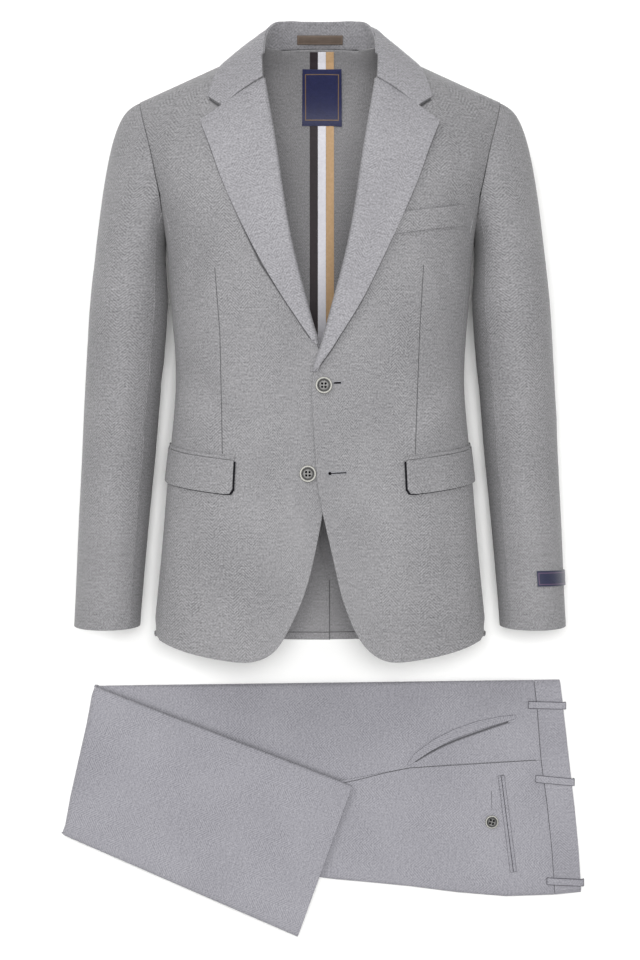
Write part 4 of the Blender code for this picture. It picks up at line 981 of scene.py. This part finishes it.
# The cuff label's middle, in degrees round the sleeve, and millimetres to a degree there
SLEEVE_LABEL_TURN, SLEEVE_LABEL_DEGREE = 36.0, 0.8
LABEL_ROUND = 0.25
LABELS = (
    # node, name, colours dark and light and of the line, half sizes, inset of the line, slot
    ("neck_label", "neck_label_woven", "#171B42", "#2C3266", "#826848", 25.5, 35.0, 4.6, "navy_label"),
    ("stand_label", "stand_label_woven", "#4E4138", "#74665B", "#6B5C50", 28.5, 5.75, 1.2, "brown_label"),
    ("sleeve_label", "sleeve_label_woven", "#11142F", "#20254C", "#54405A", 38.0, 9.5, 2.6, "navy_label"),
)
for node, name, dark, light, line, half_u, half_v, inset, slot in LABELS:
    low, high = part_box(node)
    middle = (from_frame(Vector(low)) + from_frame(Vector(high))) / 2
    if node == "sleeve_label":
        def label_uv(p, at=middle):
            cx, cz = sleeve_axis(p.y)
            turn = degrees(atan2(p.z - cz, p.x - cx)) - SLEEVE_LABEL_TURN
            return (turn * SLEEVE_LABEL_DEGREE, p.y - at.y)
    else:
        def label_uv(p, at=middle):
            return (p.x - at.x, hypot(p.y - at.y, p.z - at.z) * (1 if p.y > at.y else -1))
    mat = woven_label(name, dark, light, line, half_u, half_v, inset)
    trim_copy(node, name, mat, label_uv, LABEL_ROUND)


# Buttons: profile from the middle of the front to the back: rows of (share of radius, share of thickness)
BUTTON_PROFILE = (
    (0, 0.52),
    (0.3, 0.51),
    (0.52, 0.5),
    (0.6, 0.56),
    (0.66, 0.78),
    (0.73, 0.95),
    (0.81, 1.0),
    (0.9, 0.97),
    (0.97, 0.82),
    (1.0, 0.55),
    (0.96, 0.3),
    (0.86, 0.08),
    (0.7, 0),
    (0, 0),
)
BUTTON_TURNS, HOLE_SIDES, THREAD_SIDES = 64, 20, 16
HOLE_RADIUS, HOLE_SPREAD, THREAD_SLACK = 1.45, 2.85, 0.1
# From RING_FROM out the button is painted darker as shade, and between RIM_FROM and RIM_TO lighter as a
# highlight
RIM_FROM, RIM_TO, RING_FROM, THREAD_SUNK = 0.84, 0.95, 0.52, 0.1
BUTTON_SHARP, PIECE_SHARP = 35, 40


def button(node, radius, thick, tilt, name, hole_turn):
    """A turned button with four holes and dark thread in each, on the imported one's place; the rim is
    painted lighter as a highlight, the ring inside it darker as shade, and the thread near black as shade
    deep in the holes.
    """
    low, high = (from_frame(Vector(c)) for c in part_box(node))
    middle = (low + high) / 2
    bm = bmesh.new()
    verts = [bm.verts.new((r * radius, 0, z * thick)) for r, z in BUTTON_PROFILE]
    edges = [bm.edges.new(pair) for pair in zip(verts, verts[1:])]
    bmesh.ops.spin(bm, geom=verts + edges, axis=(0, 0, 1), cent=(0, 0, 0), steps=BUTTON_TURNS,
                   angle=2 * pi, use_merge=True)
    bmesh.ops.remove_doubles(bm, verts=bm.verts, dist=0.001)
    bmesh.ops.recalc_face_normals(bm, faces=bm.faces)
    turn = Vector((0, 0, 1)).rotation_difference(Vector(tilt)).to_matrix().to_4x4()
    place = Matrix.Translation(middle) @ turn @ Matrix.Translation(Vector((0, 0, -thick / 2)))
    bmesh.ops.transform(bm, matrix=place, verts=bm.verts)
    cutter = bmesh.new()
    holes = []
    for k in range(4):
        a = radians(hole_turn) + k * pi / 2
        holes.append(Vector((HOLE_SPREAD * cos(a), HOLE_SPREAD * sin(a), 0)))
        at = place @ Matrix.Translation(holes[-1] + Vector((0, 0, thick / 2)))
        round_rod(cutter, HOLE_RADIUS, 3 * thick, HOLE_SIDES, at)
    disc = to_object(name, in_frame(bm))
    drill = to_object(name + "_cutter", in_frame(cutter))
    cut = disc.modifiers.new("holes", "BOOLEAN")
    cut.object = drill
    cut.solver = "EXACT"
    bpy.context.view_layer.update()
    done = bpy.data.meshes.new_from_object(disc.evaluated_get(bpy.context.evaluated_depsgraph_get()))
    disc.modifiers.clear()
    disc.data = done
    bpy.data.objects.remove(drill)
    done.materials.clear()
    for mat in (resin_middle, ring_shade_resin, rim_highlight_resin):
        done.materials.append(mat)
    back = place.inverted()
    for face in done.polygons:
        at = back @ from_frame(face.center)
        share = hypot(at.x, at.y) / radius
        face.material_index = 2 if RIM_FROM < share < RIM_TO else 1 if share > RING_FROM else 0
    done.shade_smooth()
    done.set_sharp_from_angle(angle=radians(BUTTON_SHARP))
    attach(disc, "root")
    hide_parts(node)
    # Near-black thread sunk in each hole, painted shade for the hole's depth
    thread = bmesh.new()
    for at in holes:
        sunk = place @ Matrix.Translation(at + Vector((0, 0, thick * THREAD_SUNK / 2)))
        round_rod(thread, HOLE_RADIUS - THREAD_SLACK, thick * THREAD_SUNK, THREAD_SIDES, sunk)
    add_piece(name + "_thread", thread, hole_shade_black)


def round_rod(bm, radius, length, sides, matrix):
    """Adds a round rod with closed ends, upright where matrix doesn't turn it."""
    bmesh.ops.create_cone(bm, cap_ends=True, segments=sides, radius1=radius, radius2=radius,
                          depth=length, matrix=matrix)


def add_piece(name, bm, mat):
    """A small finished piece from a mesh in millimetres on the plan, its edges kept sharp."""
    obj = cloth_piece(name, bm, mat)
    obj.data.set_sharp_from_angle(angle=radians(PIECE_SHARP))


button("button_top", 10.0, 3.6, (0.02, 0.04, 1), "upper_button", 45)
button("button_low", 10.0, 3.6, (-0.04, 0.02, 1), "lower_button", 45)
button("back_pocket_button", 8.5, 3.2, (0, 0, 1), "pocket_button", 30)


# Buttonholes: a worked ring of thread round a slit, on the front's own surface
STITCH_OUT, STITCH_PITCH, STITCH_RADIUS, STITCH_LONG, STITCH_UP = 1.1, 0.55, 0.3, 1.3, 0.15
STITCH_SIDES, END_SHIFTS, END_OUT = 8, (-0.9, -0.3, 0.3, 0.9), 0.5
EYE_RADIUS, EYE_LONG, EYE_UP, SLIT_UP, SLIT_DEEP, SLIT_ROUND = 1.9, 4.0, 0.22, 0.3, 0.9, 0.1
ABOVE_ALL = 600.0


def surface_z(tree, x, y):
    """Height of a surface's upper side at a place of the plan."""
    place = tree.ray_cast(to_frame(Vector((x, y, ABOVE_ALL))), Vector((0, 0, -1)))[0]
    return 0.0 if place is None else from_frame(place).z


front_cloth = bpy.data.objects["left_front"].data
FRONT_SIDE = BVHTree.FromPolygons([v.co for v in front_cloth.vertices],
                                  [p.vertices for p in front_cloth.polygons])


def stitch(bm, at, way):
    """Adds one stitch that lies on the front along a way."""
    at.z = surface_z(FRONT_SIDE, at.x, at.y) + STITCH_UP
    lie = way.to_track_quat("Z", "Y").to_matrix().to_4x4()
    round_rod(bm, STITCH_RADIUS, STITCH_LONG, STITCH_SIDES, Matrix.Translation(at) @ lie)


def buttonhole(name, start, end, open_width, eye):
    """Stitches laid side by side round a slit, with a round eye at the first end where it has one; the slit
    and eye are near-black blocks, painted shade in the opening.
    """
    length = (end - start).length
    way = (end - start).normalized()
    across = Vector((-way.y, way.x, 0))
    ring = bmesh.new()
    slit = bmesh.new()
    count = int(length / STITCH_PITCH)
    for k in range(count + 1):
        t = k / count
        centre = start.lerp(end, t)
        spread = STITCH_OUT
        if eye and t * length < EYE_LONG:
            spread += EYE_RADIUS * sin(pi * min(t * length / EYE_LONG, 1.0))
        for sign in (-1, 1):
            stitch(ring, centre + across * sign * spread, across)
    for end_at, sign in ((start, -1), (end, 1)):
        for shift in END_SHIFTS:
            stitch(ring, end_at + way * sign * END_OUT + across * shift, way)
    centre = (start + end) / 2
    centre.z = surface_z(FRONT_SIDE, centre.x, centre.y) + SLIT_UP
    lie = Matrix.Translation(centre) @ Matrix.Rotation(atan2(way.y, way.x), 4, "Z")
    bmesh.ops.create_cube(slit, size=1.0, matrix=lie @ Matrix.Diagonal((length, open_width, SLIT_DEEP, 1)))
    bmesh.ops.bevel(slit, geom=slit.edges[:], offset=SLIT_ROUND, segments=2, profile=0.5, affect="EDGES",
                    material=-1)
    if eye:
        at = start + way * EYE_LONG / 2
        at.z = surface_z(FRONT_SIDE, at.x, at.y) + EYE_UP
        round_rod(slit, EYE_RADIUS, SLIT_DEEP, HOLE_SIDES, Matrix.Translation(at))
    add_piece(name + "_stitches", ring, grey_thread)
    add_piece(name + "_slit", slit, hole_shade_black)


UPPER_HOLE = (plan(333.5, 383.2, 214), plan(341.0, 383.0, 214))
LOWER_HOLE = (plan(328.2, 473.6, 214), plan(346.3, 472.7, 214))
buttonhole("upper_buttonhole", *UPPER_HOLE, 2.0, False)
buttonhole("lower_buttonhole", *LOWER_HOLE, 1.2, True)

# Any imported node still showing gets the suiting, so that none is left plain
for node, cad in frame["nodes"].items():
    if not cad.hide_render and not node.startswith("tape_"):
        cad.data.materials.clear()
        cad.data.materials.append(suiting)

# Floor, light and camera


def pale_floor():
    """Matt white studio card: even, with the faintest grain."""
    mat, tree, shader = new_material("white_studio_card")
    place = add_node(tree, "ShaderNodeTexCoord").outputs["Object"]
    grain = add_node(tree, "ShaderNodeTexNoise", Vector=place, Scale=14.0, Detail=2.0).outputs[0]
    mix = blend_colours(tree, grain, colour("#F9F9F8"), colour("#FFFFFE"))
    tree.links.new(mix, shader.inputs["Base Color"])
    shader.inputs["Roughness"].default_value = 0.95
    shader.inputs["Specular IOR Level"].default_value = 0.1
    return mat


FLOOR_HALF = 6.0
bm = bmesh.new()
bmesh.ops.create_grid(bm, x_segments=2, y_segments=2, size=FLOOR_HALF)
floor = to_object("floor", bm)
floor.data.materials.append(pale_floor())
floor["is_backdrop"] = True

# Area lights: rows of (name, place, aimed at, size, power)
LIGHTS = (
    ("key_softbox", (0.03, 0.16, 3.4), (0, 0, 0), 0.8, 80),
    ("fill_softbox", (-1.5, 1.5, 2.6), (0, 0, 0), 1.6, 34),
    ("low_softbox", (1.4, -1.2, 2.6), (0, 0, 0), 2.0, 10),
)
WORLD_LIGHT = 0.45
for name, place, aim, size, power in LIGHTS:
    data = bpy.data.lights.new(name, "AREA")
    data.size = size
    data.energy = power
    lamp = bpy.data.objects.new(name, data)
    lamp.location = place
    lamp.rotation_euler = (Vector(aim) - Vector(place)).to_track_quat("-Z", "Y").to_euler()
    bpy.context.scene.collection.objects.link(lamp)

world = bpy.data.worlds.new("studio")
world.use_nodes = True
world.node_tree.nodes["Background"].inputs["Color"].default_value = (1, 1, 1, 1)
world.node_tree.nodes["Background"].inputs["Strength"].default_value = WORLD_LIGHT
bpy.context.scene.world = world

bpy.context.scene.view_settings.view_transform = "Standard"

data = bpy.data.cameras.new("camera")
data.lens = CAMERA_LENS
data.sensor_fit = "VERTICAL"
data.sensor_height = SENSOR
camera = bpy.data.objects.new("camera", data)
camera.location = (PLAN_ZERO.x * MM, PLAN_ZERO.y * MM, CAMERA_HEIGHT)
bpy.context.scene.collection.objects.link(camera)
bpy.context.scene.camera = camera

low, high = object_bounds()
